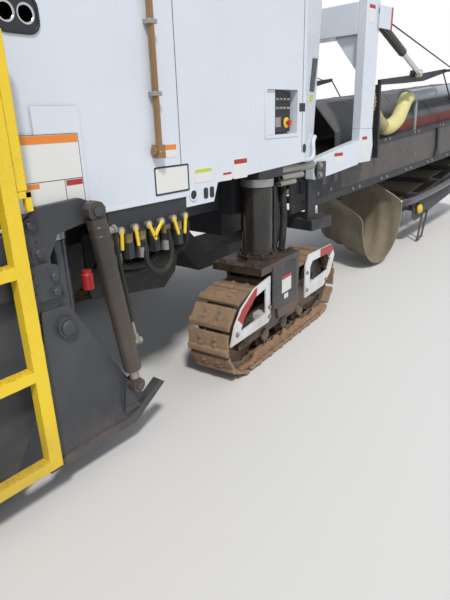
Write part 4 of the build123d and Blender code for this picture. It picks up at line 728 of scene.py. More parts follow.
class PLANER_OT_tracks(bpy.types.Operator):
    """Shoes, chain links, hubs, bolts, bands and hoses of the four crawler tracks"""

    bl_idname = "planer.tracks"
    bl_label = "Crawler tracks"

    def execute(self, context):
        for name, x, y, angle in TRACKS:
            self.one(context.scene.planer_sizes, name, x, y, track_matrix(x, y, angle))
        return {"FINISHED"}

    def one(self, sizes, name, x, y, base):
        """Everything round one track and its leg."""

        def put(title, shape, look, matrix=base, on="track_" + name, **more):
            """A piece of this track, turned with it about its leg."""
            piece(f"{title}_{name}", moved(shape, matrix), look, on, **more)

        leg = x - LEG_BACK
        self.chain(put, name, sizes, base @ shift(x, y, 0))
        self.wheels(put, x, y)
        self.column(put, leg, y)
        self.guard(put, x, y)
        self.saddle(put, leg, y)
        put("mud", self.mud(x, y), "mud")
        bundle = []
        for dx, dy, lean in ((0.15, -0.03, 0.02), (0.165, 0.05, -0.015), (0.205, 0.0, 0.02),
                             (0.235, -0.05, 0.01)):
            drop = ((0, 1.22), (lean, 1.1), (lean * 2.4, 0.95), (lean, 0.8), (-0.01, 0.725))
            path = [(leg + dx + out, y + dy, z) for out, z in drop]
            bundle.append(corrugated(path, sizes.hose_size / 2, 0.011, 0.14))
        put("leg_hoses", join(*bundle), "rubber", HERE,
            blend=("chassis", "track_" + name, (leg + 0.17, y, 1.18), (leg + 0.17, y, 0.76)))

    def chain(self, put, name, sizes, here):
        """Shoes, their bolts, links and pins at every place round the track."""
        places, pitch = track_places(sizes.shoe_count)
        places = here @ places
        half = pitch / 2 - sizes.shoe_gap / 2
        section = [(-half, 0.002), (half - 0.012, 0.002), (half - 0.006, -0.010), (half, 0.006),
                   (half, 0.014), (half - 0.012, 0.022), (-half + 0.055, 0.022), (-half + 0.046, 0.036),
                   (-half + 0.02, 0.037), (-half, 0.022)]
        put("shoes", stamp(slab(section, -0.1525, 0.1525), places), "rusty shoe", HERE, bevel=0.003,
            stands_for=("track_shoes_" + name,))
        spots = [shift(u, v, 0.021) for u in (-0.005, 0.036) for v in (-0.055, 0.055)]
        put("shoe_bolts", stamp(stamp(bolt(0.026, 0.45), spots), places), "rusty shoe", HERE)
        link = np.concatenate([arc(pitch * 0.32, -0.022, 0.024, -90, 90, 5),
                               arc(-pitch * 0.32, -0.022, 0.024, 90, 270, 5)])
        pin = bar((pitch * 0.5, -0.093, -0.022), (pitch * 0.5, 0.093, -0.022), 0.011, 8)
        row = join(slab(link, -0.088, -0.07), slab(link, 0.07, 0.088), pin)
        put("chain", stamp(row, places), "running gear", HERE)

    def wheels(self, put, x, y):
        """Stepped hubs of the two end wheels with their bolt rings, and plain hubs of the three rollers."""
        steps = [(0.10, 0.11), (0.118, 0.105), (0.122, 0.085), (0.136, 0.08), (0.14, 0.045), (0.148, 0.04)]
        hubs, rings_of_bolts = [], []
        for way in (-1, 1):
            for cx in (-WHEEL_X, WHEEL_X):
                hubs.append(lathe(steps, 24, (x + cx, y, AXLE_Z), (0, way, 0)))
                places = [(u, y + way * 0.119, v) for u, v in arc(x + cx, AXLE_Z, 0.094, 0, 324, 10)]
                rings_of_bolts.append(bolts(places, (0, way, 0), 0.018))
            for cx in (-WHEEL_X / 2, 0, WHEEL_X / 2):
                hubs.append(lathe([(0.088, 0.05), (0.104, 0.048), (0.11, 0.03)], 16, (x + cx, y, 0.16),
                                  (0, way, 0)))
        put("hubs", join(*hubs), "running gear", bevel=0.002)
        put("hub_bolts", join(*rings_of_bolts), "running gear")

    def column(self, put, leg, y):
        """Grease on the leg, its guide bar, the ring at its top and the bolts at its foot."""
        flange = bolts([(u, v, 0.742) for u, v in arc(leg, y, 0.125, 0, 315, 8)], (0, 0, 1), 0.03)
        spots = [(leg + dx, y + dy, 0.72) for dx in (-0.25, 0.25) for dy in (-0.13, 0.13)]
        put("bracket_bolts", join(flange, bolts(spots, (0, 0, 1), 0.034)), "running gear", slot="steel")
        sleeve = [(0.744, 0.1025), (0.744, 0.112), (0.765, 0.112), (0.768, 0.1045), (1.2, 0.1045),
                  (1.205, 0.1025)]
        put("column_grease", lathe(sleeve, 36, (leg, y, 0)), "greasy column")
        ring = [(1.207, 0.1022), (1.208, 0.112), (1.258, 0.112), (1.26, 0.1022)]
        put("column_ring", lathe(ring, 36, (leg, y, 0)), "dull steel", HERE, on="chassis")
        across = y + math.copysign(0.093, y)
        guide = bar((leg + 0.074, across, 0.745), (leg + 0.074, across, 1.205), 0.011, 10)
        put("column_guide", guide, "black plastic", slot="frame_paint")

    def guard(self, put, x, y):
        """Painted bands and bolts on the guard's outer face."""
        near = y + math.copysign(0.1785, y)
        band = [(-0.797, 0.433), (-0.718, 0.522), (-0.559, 0.607), (-0.352, 0.637), (-0.352, 0.592),
                (-0.545, 0.565), (-0.69, 0.488), (-0.762, 0.408)]
        rear = [(-0.77, 0.464), (-0.72, 0.519), (-0.56, 0.604), (-0.53, 0.608), (-0.545, 0.549),
                (-0.56, 0.546), (-0.69, 0.456), (-0.715, 0.415)]
        front = [(0.48, 0.629), (0.7, 0.624), (0.74, 0.572), (0.667, 0.529), (0.64, 0.561), (0.48, 0.566)]
        red = [skin(np.add(outline, (x, 0)), near, 0.0035) for outline in (rear, front)]
        put("guard_bands", join(*red), "signal red")
        put("guard_trim", skin(np.add(band, (x, 0)), near, 0.002), "label white")
        spots = ((-0.37, 0.42), (-0.37, 0.35), (0.235, 0.36), (0.235, 0.5), (0.6, 0.345), (-0.78, 0.37))
        heads = [(x + dx, near + math.copysign(0.001, y), z) for dx, z in spots]
        put("guard_bolts", bolts(heads, (0, np.sign(y), 0), 0.02), "bolt zinc")

    def saddle(self, put, leg, y):
        """Dark cheek under the leg, with a blank label and its red strip."""
        outer = y + math.copysign(0.202, y)
        cheek = [(leg - 0.13, 0.39), (leg + 0.23, 0.36), (leg + 0.21, 0.675), (leg - 0.13, 0.70)]
        put("saddle_side", slab(cheek, y + math.copysign(0.184, y), outer), "frame grey", bevel=0.006)
        labels = (rounded(leg - 0.015, leg + 0.125, 0.475, 0.60, 0.006),
                  rounded(leg + 0.02, leg + 0.08, 0.425, 0.46, 0.004))
        put("saddle_label", join(*[skin(label, outer, 0.002) for label in labels]), "label white")
        strip = box(leg - 0.015, leg + 0.125, outer, outer + math.copysign(0.003, y), 0.575, 0.60)
        put("saddle_strip", strip, "signal red")

    def mud(self, x, y):
        """Dried mud along both sides of the lower run: tubes whose height wanders with seeded noise."""
        rng = np.random.default_rng(int(10 * abs(x) + (y > 0)))
        s = np.linspace(-0.68, 0.68, 100)
        turn = np.linspace(0, 2 * np.pi, 10, endpoint=False)
        knots = np.linspace(-0.68, 0.68, 26)
        ridges = []
        for way in (-1, 1):
            tall = np.interp(s, knots, rng.uniform(0.25, 1.0, 26)) * (1 - (s / 0.72) ** 8)
            rough = 1 + rng.uniform(-0.22, 0.22, (100, 10))
            across = y + way * (0.12 + 0.024 * rough * np.cos(turn))
            up = 0.05 + 0.075 * tall[:, None] * rough * np.clip(np.sin(turn), -0.2, 1)
            ridges.append(rings(np.stack([np.broadcast_to(x + s[:, None], up.shape), across, up], -1)))
        return join(*ridges)


# Water tank


class PLANER_OT_tank(bpy.types.Operator):
    """Blank plates, seams, pocket trim, gauges, lugs and pipe ends of the water tank"""

    bl_idname = "planer.tank"
    bl_label = "Water tank"

    def execute(self, context):
        self.plates()
        self.edges()
        self.gauges()
        self.pipes()
        self.console()
        self.corner_and_roof()
        return {"FINISHED"}

    def plates(self):
        """Blank plates, some with a coloured strip along the top, and a black border on the widest."""
        plates = []
        strips = {"label orange": [], "label lime": [], "signal red": []}
        for x0, x1, z0, z1, header, tone in (
                (-1.225, -0.975, 1.285, 1.425, 0.0, None), (-0.93, -0.785, 1.315, 1.39, 0.022, "label lime"),
                (-0.585, -0.45, 1.3, 1.415, 0.03, "signal red"),
                (-0.69, -0.605, 1.3, 1.35, 0.016, "signal red"),
                (-1.165, -1.055, 1.465, 1.53, 0.028, "label orange")):
            plates.append(skin(rounded(x0, x1, z0, z1, 0.008), FACE, 0.002))
            if tone:
                strip = rounded(x0 + 0.004, x1 - 0.004, z1 - header, z1 - 0.004, 0.003)
                strips[tone].append(skin(strip, FACE, 0.003))
        piece("blank_plates", both(*plates), "label white")
        for tone, parts in strips.items():
            piece("plate_strips_" + tone.split()[1], both(*parts), tone, slot="lamp_red")
        border = rim(rounded(-1.225, -0.975, 1.285, 1.425, 0.008),
                     rounded(-1.216, -0.984, 1.294, 1.416, 0.006),
                     FACE - 0.002, FACE - 0.003)
        piece("plate_border", both(border), "black plastic", smooth=False)

    def edges(self):
        """Pocket trim, seams, lower lip with its ring, and dark sheets painted as the shade in the ring's
        hole and the openings.
        """
        trim = rim(rounded(-0.262, 0.14, 1.51, 1.82, 0.02), rounded(-0.242, 0.12, 1.53, 1.80, 0.012),
                   FACE, FACE - 0.004)
        piece("pocket_trim", both(trim), "white", bevel=0.001)
        seams = [box(x0, x1, FACE, FACE - 0.0012, z0, z1) for x0, x1, z0, z1 in (
            (-1.03, -1.026, 1.30, 2.62), (0.19, 0.194, 1.4, 2.6), (-2.03, 0.2, 2.555, 2.559))]
        piece("tank_seams", both(*seams), "seam", smooth=False)
        wide, middle, narrow = (arc(-0.946, 1.256, radius, 0, 345, 24) for radius in (0.034, 0.024, 0.0235))
        lip = box(-2.05, -1.002, FACE, FACE - 0.006, 1.255, 1.27)
        piece("tank_lips", both(lip, rim(wide, middle, FACE, FACE - 0.006)), "white", bevel=0.002)
        # Painted shade: dark sheets laid over the ring's hole and the openings
        dark = [skin(narrow, FACE, 0.001)]
        dark += [skin(rounded(*corners), FACE, 0.002) for corners in (
            (-0.86, -0.824, 1.222, 1.282, 0.012), (-0.808, -0.772, 1.222, 1.282, 0.012),
            (0.205, 0.25, 1.395, 1.455, 0.02), (-1.605, -1.555, 1.262, 1.3, 0.01))]
        piece("tank_opening_shade", both(*dark), "black plastic")

    def gauges(self):
        """Two round gauges on a dark sheet painted as the shade of their recess, on the right side alone."""
        inner = rounded(-1.93, -1.76, 1.965, 2.085, 0.04, 6)
        outer = rounded(-1.94, -1.75, 1.955, 2.095, 0.05, 6)
        # Painted shade: a dark sheet stands for the recess behind the gauges
        piece("gauge_recess_shade", skin(inner, FACE, 0.003), "screen")
        piece("gauge_rim", rim(outer, inner, FACE, FACE - 0.007), "black plastic", bevel=0.002)
        bezel = [(0.002, 0.036), (0.0055, 0.036), (0.0065, 0.031), (0.004, 0.028)]
        for title, profile, look in (("gauge_dials", [(0.003, 0.028), (0.004, 0.028)], "label white"),
                                     ("gauge_bezels", bezel, "chrome")):
            discs = [lathe(profile, 28, (x, FACE, 2.025), RIGHT) for x in (-1.885, -1.805)]
            piece(title, join(*discs), look)

    def pipes(self):
        """Open pipe ends under the tank with their holder, and a curled tube on its front corner."""
        pipes = []
        for start, end, y, z, radius in ((-0.1, 0.46, -1.14, 1.292, 0.033), (0.0, 0.28, -1.165, 1.242, 0.021),
                                         (-0.05, 0.15, -1.185, 1.207, 0.016)):
            wall = ((start, radius), (end, radius), (end, radius * 0.72), (start, radius * 0.72))
            loops = [layer(arc(y, z, r, 0, 345, 24), "yz", x) for x, r in wall]
            pipes.append(rings(np.stack(loops), True))
        piece("pipe_ends", both(*pipes), "bolt zinc")
        piece("pipe_holder", both(box(-0.19, 0.17, -1.105, -0.95, 1.262, 1.335)), "frame grey", bevel=0.004)
        curl = [(0.534, -1.12, 1.488), (0.458, -1.15, 1.452), (0.447, -1.16, 1.363), (0.363, -1.175, 1.337),
                (0.24, -1.2, 1.345)]
        piece("tank_curl", both(tube(curl, 0.015, 30)), "white")

    def console(self):
        """Pocket with its pillar, a dark console, its stop knob on a disc, and its switches."""
        piece("pocket_pillar", both(box(-0.242, -0.13, -1.2, -1.08, 1.53, 1.8)), "white", bevel=0.002)
        front, middle = -1.17, (0.05, -1.17, 1.6)
        housing = both(box(-0.11, 0.095, front, -1.08, 1.545, 1.785),
                       box(0.15, 0.225, FACE, FACE - 0.002, 1.667, 1.72))
        piece("console_box", housing, "black plastic", bevel=0.006, stands_for=("side_consoles",))
        disc = [(0, 0.034), (0.004, 0.034), (0.006, 0.03)]
        piece("console_disc", both(lathe(disc, 24, middle, RIGHT)), "yellow")
        knob = [(0.006, 0.012), (0.02, 0.012), (0.022, 0.02), (0.032, 0.02), (0.036, 0.014)]
        piece("console_knob", both(lathe(knob, 20, middle, RIGHT)), "lamp red")
        dots = [lathe([(0, 0.011), (0.01, 0.01), (0.02, 0.005)], 10, (x, front, z), RIGHT)
                for x in (-0.08, -0.035, 0.01, 0.055) for z in (1.69, 1.745)]
        piece("console_switches", both(*dots, box(-0.085, -0.02, front, -1.173, 1.575, 1.635)), "dull steel")

    def corner_and_roof(self):
        """Strip and tag on the bent front corner, caps, ribs and lifting loops on the roof."""
        slope = (0.990 - 1.211) / 0.65
        for title, look, slot, corners in (
                ("corner_strip", "black plastic", None,
                 ((0.431, 2.016), (0.607, 2.027), (0.507, 1.8), (0.347, 1.798))),
                ("corner_tag", "label lime", "yellow_paint",
                 ((0.35, 1.775), (0.47, 1.777), (0.45, 1.735), (0.335, 1.733)))):
            sheet = [[(x, -(1.211 + slope * (x - 0.23)) - out, z) for x, z in corners]
                     for out in (0.0, 0.003)]
            piece(title, both(rings(np.array(sheet))), look, slot=slot)
        caps = [lathe([(0, 0.12), (0.03, 0.12), (0.045, 0.1), (0.06, 0.04)], 32, (x, y, ROOF))
                for x in (-1.5, -0.4) for y in (-0.85, 0.85)]
        piece("filler_caps", join(*caps), "black plastic", bevel=0.003)
        ribs = [box(-2.0, 0.5, y - 0.03, y + 0.03, ROOF, 2.652) for y in (-1.1, -0.4, 0.4, 1.1)]
        piece("roof_ribs", join(*ribs), "white", bevel=0.004)
        bow = ((-0.05, ROOF), (-0.045, 2.7), (0, 2.725), (0.045, 2.7), (0.05, ROOF))
        loops = [tube([(x, y + dy, z) for dy, z in bow], 0.012, 20, 8) for x in (-1.75, 0.2)
                 for y in (-1.0, 1.0)]
        piece("lifting_loops", join(*loops), "dull steel")


class PLANER_OT_valves(bpy.types.Operator):
    """Yellow handled valves, hoses, cables and the sight tube's fittings under the tank's right edge"""

    bl_idname = "planer.valves"
    bl_label = "Valves and hoses"

    def execute(self, context):
        y = FACE + 0.05
        stem = [(0, 0.014), (0.035, 0.014), (0.04, 0.02), (0.05, 0.02)]
        body = [(0, 0.027), (0.02, 0.03), (0.07, 0.03), (0.08, 0.034), (0.11, 0.034), (0.12, 0.028),
                (0.165, 0.028)]
        handles, stems, bodies = [], [], []
        for index, lean in enumerate((4, -6, -26, 40, -18, 8)):
            x = -1.48 + index * 0.088
            stems.append(lathe(stem, 10, (x, y - 0.024, 1.16), RIGHT))
            bodies.append(lathe(body, 16, (x, y, 1.075)))
            turn = shift(x, 0, 1.16) @ spin("Y", lean) @ shift(-x, 0, -1.16)
            grip = slab(rounded(x - 0.009, x + 0.009, 1.065, 1.17, 0.008), y - 0.078, y - 0.066)
            handles.append(moved(grip, turn))
        piece("valve_handles", join(*handles), "yellow", bevel=0.004)
        piece("valve_stems", join(*stems), "dull steel")
        piece("valve_bodies", join(*bodies), "brass")
        union = [(0, 0.036), (0.05, 0.036), (0.055, 0.026), (0.08, 0.026)]
        piece("valve_unions", join(*[lathe(union, 16, (x, y, 0.99)) for x in (-1.48, -1.304, -1.128)]),
              "bolt zinc")
        looped = [(-1.3, -1.185, 1.06), (-1.305, -1.2, 0.96), (-1.25, -1.205, 0.9), (-1.18, -1.205, 0.9),
                  (-1.13, -1.2, 0.97), (-1.13, -1.185, 1.1)]
        piece("looped_hose", tube(looped, 0.014, 50), "rubber")
        ribbed = [(-0.985, -1.13, 1.19), (-0.96, -1.14, 1.08), (-0.985, -1.13, 0.98), (-1.12, -1.08, 0.93),
                  (-1.35, -1.03, 0.9)]
        hoses = [corrugated(ribbed, 0.034, 0.014, 0.16, 14)]
        for lift, back in ((0.0, 0.0), (0.05, 0.04), (-0.05, 0.05)):
            path = [(-1.52, -1.1, 1.02 + lift), (-1.4, -1.12, 0.95 + lift), (-1.2, -1.1, 0.93 + lift),
                    (-1.03, -1.04, 1.0 + lift), (-0.98, -0.99, 1.15)]
            hoses.append(tube(np.add(path, (0, back, 0)), 0.018))
        piece("suction_hoses", join(*hoses), "rubber")
        apron = [(-1.53, 0.78), (-1.0, 0.7), (-0.9, 0.78), (-0.86, 0.92), (-0.9, 1.12), (-1.53, 1.12)]
        piece("hose_apron", slab(apron, -0.99, -0.97), "rubber", bevel=0.006)
        sheet = [(-1.13, 0.93), (-0.93, 0.985), (-0.93, 1.035), (-1.0, 1.02), (-1.13, 0.985)]
        piece("hose_bracket", slab(sheet, -1.06, -1.055), "guard white", bevel=0.001)
        tube_y = FACE - 0.026
        clamps = [box(-1.225, -1.175, tube_y - 0.02, FACE, z, z + 0.02) for z in (1.75, 2.05, 2.33)]
        piece("sight_clamps", join(*clamps), "dull steel", bevel=0.003)
        foot = lathe([(0, 0.03), (0.03, 0.03), (0.035, 0.024), (0.06, 0.024)], 12, (-1.2, tube_y, 1.47))
        nozzle = [(0, 0.016), (0.03, 0.016), (0.032, 0.022), (0.04, 0.022)]
        arm = lathe(nozzle, 10, (-1.2, tube_y, 1.505), (-1, 0, 0))
        piece("sight_valve", join(foot, arm), "brown tube", bevel=0.002)
        return {"FINISHED"}


# Side plates, skids and ladder


class PLANER_OT_side_plates(bpy.types.Operator):
    """Bolts, clamp plates, cylinder rings, fittings and wear strips of both side plates"""

    bl_idname = "planer.side_plates"
    bl_label = "Side plates"

    def execute(self, context):
        for hand, side in (("right", -1), ("left", 1)):

            def put(title, shape, look, on="side_plate", **more):
                """A piece of this hand, on the chassis or on a body of the same hand."""
                body = on if on == "chassis" else f"{on}_{hand}"
                piece(f"{title}_{hand}", shape, look, body, **more)

            self.plate(put, side)
            self.cover(put, side)
            self.skid_cylinder(put, side)
            self.slides(put, side)
            self.skid(put, side)
        return {"FINISHED"}

    def plate(self, put, side):
        """Bolts and clamp of the plate, and black sheets painted as the shade in its holes."""
        out = side * 1.252
        way = (0, side, 0)
        spots = ((-1.95, 1.272), (-1.933, 1.155), (-2.25, 1.14), (-2.9, 1.14), (-3.3, 1.14), (-3.45, 1.3))
        put("hanger_bolts", bolts([(x, out, z) for x, z in spots], way, 0.034), "plate grey", slot="steel")
        # Painted shade: black sheets laid over the plate's two holes
        holes = (rounded(-2.005, -1.971, 1.127, 1.219, 0.006), arc(-1.932, 1.201, 0.006, 0, 330, 12))
        put("hanger_holes", join(*[skin(hole, out, 0.001) for hole in holes]), "black plastic")
        put("clamp", skin(rounded(-2.05, -1.855, 0.955, 1.1, 0.02), out, 0.014), "plate grey", bevel=0.004)
        spots = ((-1.98, 1.053), (-1.887, 1.049), (-1.889, 0.984), (-1.987, 0.982))
        corners = [(x, out + side * 0.014, z) for x, z in spots]
        put("clamp_bolts", bolts(corners, way, 0.03), "plate grey", slot="steel")

    def cover(self, put, side):
        """White cover over the tank's slot with a big blank plate on it, and the side plate's ribs."""
        inner = side * 1.2178
        put("slot_cover", skin(rounded(-1.85, -1.63, 1.3, 1.71, 0.004), inner, 0.002), "white")
        face = side * 1.2198
        put("big_plate", skin(rounded(-1.96, -1.65, 1.315, 1.605, 0.006), face, 0.0015), "label white")
        for title, look, rows in (
                ("orange", "label orange", ((-1.956, -1.654, 1.57, 1.601), (-1.93, -1.86, 1.402, 1.421))),
                ("red", "signal red", ((-1.735, -1.654, 1.398, 1.421),)),
                ("lines", "black plastic", ((-1.96, -1.65, 1.424, 1.4265), (-1.742, -1.7395, 1.315, 1.425),
                                            (-1.652, -1.65, 1.315, 1.603), (-1.96, -1.65, 1.603, 1.605)))):
            marks = [box(x0, x1, face, face + side * 0.0022, z0, z1) for x0, x1, z0, z1 in rows]
            put("big_plate_" + title, join(*marks), look, smooth=False)
        ribs = [box(x, x + 0.016, side * 1.207, side * 1.245, 0.26, 0.98) for x in (-3.6, -3.0, -2.45)]
        put("plate_ribs", join(*ribs), "plate grey", bevel=0.003)

    def skid_cylinder(self, put, side):
        """Sleeve, collars, gland, ports and hose of the skid's cylinder, and the bare part of its rod."""
        top = np.array((-1.675, side * 1.306, 1.29))
        low = np.array((-1.545, side * 1.306, 0.4))
        way = unit(low - top)
        end = np.linalg.norm(low - top) - 0.095
        barrel = "skid_barrel"
        sleeve = [(0.03, 0.0435), (0.035, 0.0445), (end - 0.004, 0.0445), (end + 0.001, 0.04),
                  (end + 0.002, 0.027), (end - 0.01, 0.027), (0.03, 0.04)]
        put("skid_sleeve", lathe(sleeve, 32, top, way, True), "cylinder paint", barrel)
        band = ((0, 0.0435), (0.003, 0.0458), (0.02, 0.0458), (0.023, 0.0435))
        collars = [lathe([(d + h, r) for h, r in band], 32, top, way) for d in (0.06, 0.1)]
        put("skid_collar", join(*collars), "cylinder paint", barrel)
        ring = [(end, 0.032), (end + 0.01, 0.032), (end + 0.012, 0.028), (end + 0.01, 0.0265), (end, 0.0265)]
        put("skid_gland", lathe(ring, 28, top, way, True), "dull steel", barrel, slot="chrome_rod")
        fit = top + np.array((0.062, 0, 0))
        nut = [(0, 0.016), (0.03, 0.016), (0.032, 0.02)]
        ports = join(bar(fit + way * 0.56, fit + way * 0.63, 0.009),
                     bar(fit + way * 0.625, fit + way * 0.67, 0.014, 6),
                     lathe(nut + [(0.05, 0.02)], 6, top + way * 0.67 + (0.038, 0, 0), (1, 0, 0)),
                     lathe(nut + [(0.046, 0.02)], 8, top + way * 0.1 + (0.04, 0, 0), (1, 0, 0.15)))
        put("skid_ports", ports, "bolt zinc", barrel)
        path = [fit + way * along + (off, 0, 0)
                for along, off in ((0.56, 0), (0.45, 0.004), (0.3, 0.006), (0.16, 0.012))]
        path.append(top + way * 0.1 + (0.085, 0, 0.005))
        put("skid_hose", tube(path, 0.01, 40, 8), "rubber", barrel)
        shown = lathe([(end + 0.004, 0.0242), (end + 0.05, 0.0242)], 20, top, way)
        put("skid_chrome", shown, "dull steel", "skid_rod", slot="chrome_rod")

    def slides(self, put, side):
        """Glands and sleeves of the two lifting cylinders, and a red filter."""
        gland = [(1.17, 0.0455), (1.172, 0.0505), (1.2, 0.0505), (1.207, 0.048), (1.209, 0.03)]
        sleeve = [(0.66, 0.045), (0.664, 0.0485), (1.166, 0.0485), (1.17, 0.045)]
        places = [(x, side * 1.13, 0) for x in (-1.775, -3.475)]
        put("slide_glands", join(*[lathe(gland, 28, place) for place in places]), "dull steel", "chassis",
            slot="chrome_rod")
        put("slide_sleeves", join(*[lathe(sleeve, 32, place) for place in places]), "bumper blue", "chassis",
            slot="black_plastic")
        canister = [(0, 0.02), (0.004, 0.028), (0.075, 0.028), (0.082, 0.022), (0.095, 0.022)]
        put("filters", lathe(canister, 20, (-1.63, side * 1.13, 0.895)), "signal red", "chassis")

    def skid(self, put, side):
        """Boss and rib of the skid."""
        cap = [(0, 0.036), (0.012, 0.036), (0.018, 0.03), (0.021, 0.015)]
        put("skid_boss", lathe(cap, 24, (-1.859, side * 1.276, 0.813), (0, side, 0)), "plate grey", "skid")
        rib = [(-1.6, 0.24), (-1.5, 0.24), (-1.52, 0.3), (-1.6, 0.3)]
        put("skid_rib", slab(rib, side * 1.256, side * 1.27), "plate grey", "skid", bevel=0.003)


class PLANER_OT_ladders(bpy.types.Operator):
    """Hand hoops, rung grips and brackets of both ladders"""

    bl_idname = "planer.ladders"
    bl_label = "Ladders"

    def execute(self, context):
        rung = [(-2.395 + step * 0.028, -1.3, 0.265 + index * 0.44) for index in range(4)
                for step in range(12)]
        grips = stamp(box(-0.006, 0.006, -0.018, 0.018, 0, 0.004), [shift(*place) for place in rung])
        piece("rung_grips", both(grips), "yellow", smooth=False)
        bow = ((-1.29, 2.34), (-1.3, 2.45), (-1.28, 2.6), (-1.2, 2.66), (-1.15, 2.6))
        hoops = [tube([(x, side * y, z) for y, z in bow], 0.017, 30) for side in (1, -1)
                 for x in (-2.045, -2.44)]
        piece("ladder_hoops", join(*hoops), "yellow")
        bracket = [box(x0, x1, -1.318, -1.29, z0, z1) for x0, x1, z0, z1 in (
            (-2.043, -1.955, 1.385, 1.412), (-1.982, -1.955, 1.335, 1.412), (-2.012, -1.968, 1.412, 1.95))]
        piece("ladder_brackets", both(*bracket), "yellow", bevel=0.004)
        return {"FINISHED"}


# Cutter drum


class PLANER_OT_drum(bpy.types.Operator):
    """Cutter drum with flights, tool holders and picks on two opposed spirals"""

    bl_idname = "planer.drum"
    bl_label = "Cutter drum"

    def execute(self, context):
        count = context.scene.planer_sizes.pick_count
        x, z, half = -2.625, 0.77, 1.075
        reach, turns = half - 0.03, 3 * 2 * np.pi
        shell = lathe([(-half, 0.34), (-half, 0.4), (half, 0.4), (half, 0.34)], 64, (x, 0, z), (0, 1, 0))
        t = np.linspace(-1, 1, count)
        turn = np.abs(t) * turns + (np.arange(count) % 3) * 2 * np.pi / 3
        skew = np.where(t < 0, 0.22, -0.22)
        m = np.zeros((count, 4, 4))
        s, c = np.sin(turn), np.cos(turn)
        m[:, 0, 0], m[:, 1, 0], m[:, 2, 0] = c * np.cos(skew), np.sin(skew), -s * np.cos(skew)
        m[:, 0, 1], m[:, 1, 1], m[:, 2, 1] = -c * np.sin(skew), np.cos(skew), s * np.sin(skew)
        m[:, 0, 2], m[:, 2, 2] = s, c
        m[:, 0, 3], m[:, 1, 3], m[:, 2, 3], m[:, 3, 3] = x, t * reach, z, 1
        holder = [(-0.055, 0.385), (0.05, 0.385), (0.062, 0.43), (0.05, 0.485), (0.012, 0.492), (-0.04, 0.43)]
        tip = [(0.0, 0.02), (0.016, 0.024), (0.03, 0.023), (0.05, 0.012), (0.066, 0.011), (0.082, 0.003)]
        pick = lathe(tip, 10, (0.03, 0, 0.482), (0.42, 0, 1))
        piece("drum_shell_steel", shell, "drum steel", "cutter_drum", bevel=0.004, stands_for=("drum_shell",))
        piece("tool_holders", stamp(slab(holder, -0.024, 0.024), m), "drum steel", "cutter_drum", bevel=0.003)
        piece("picks", stamp(pick, m), "dull steel", "cutter_drum", slot="drum_steel")
        s = np.linspace(0, 1, 160)
        flights = []
        for way in (-1, 1):
            for start in range(3):
                angle = s * turns + start * 2 * np.pi / 3
                ring = [np.stack([x + radius * np.sin(angle), way * s * reach + off,
                                  z + radius * np.cos(angle)], -1)
                        for radius, off in ((0.39, -0.009), (0.455, -0.009), (0.455, 0.009), (0.39, 0.009))]
                flights.append(rings(np.stack(ring, 1)))
        piece("drum_flights", join(*flights), "drum steel", "cutter_drum")
        return {"FINISHED"}


# Yoke and discharge conveyor


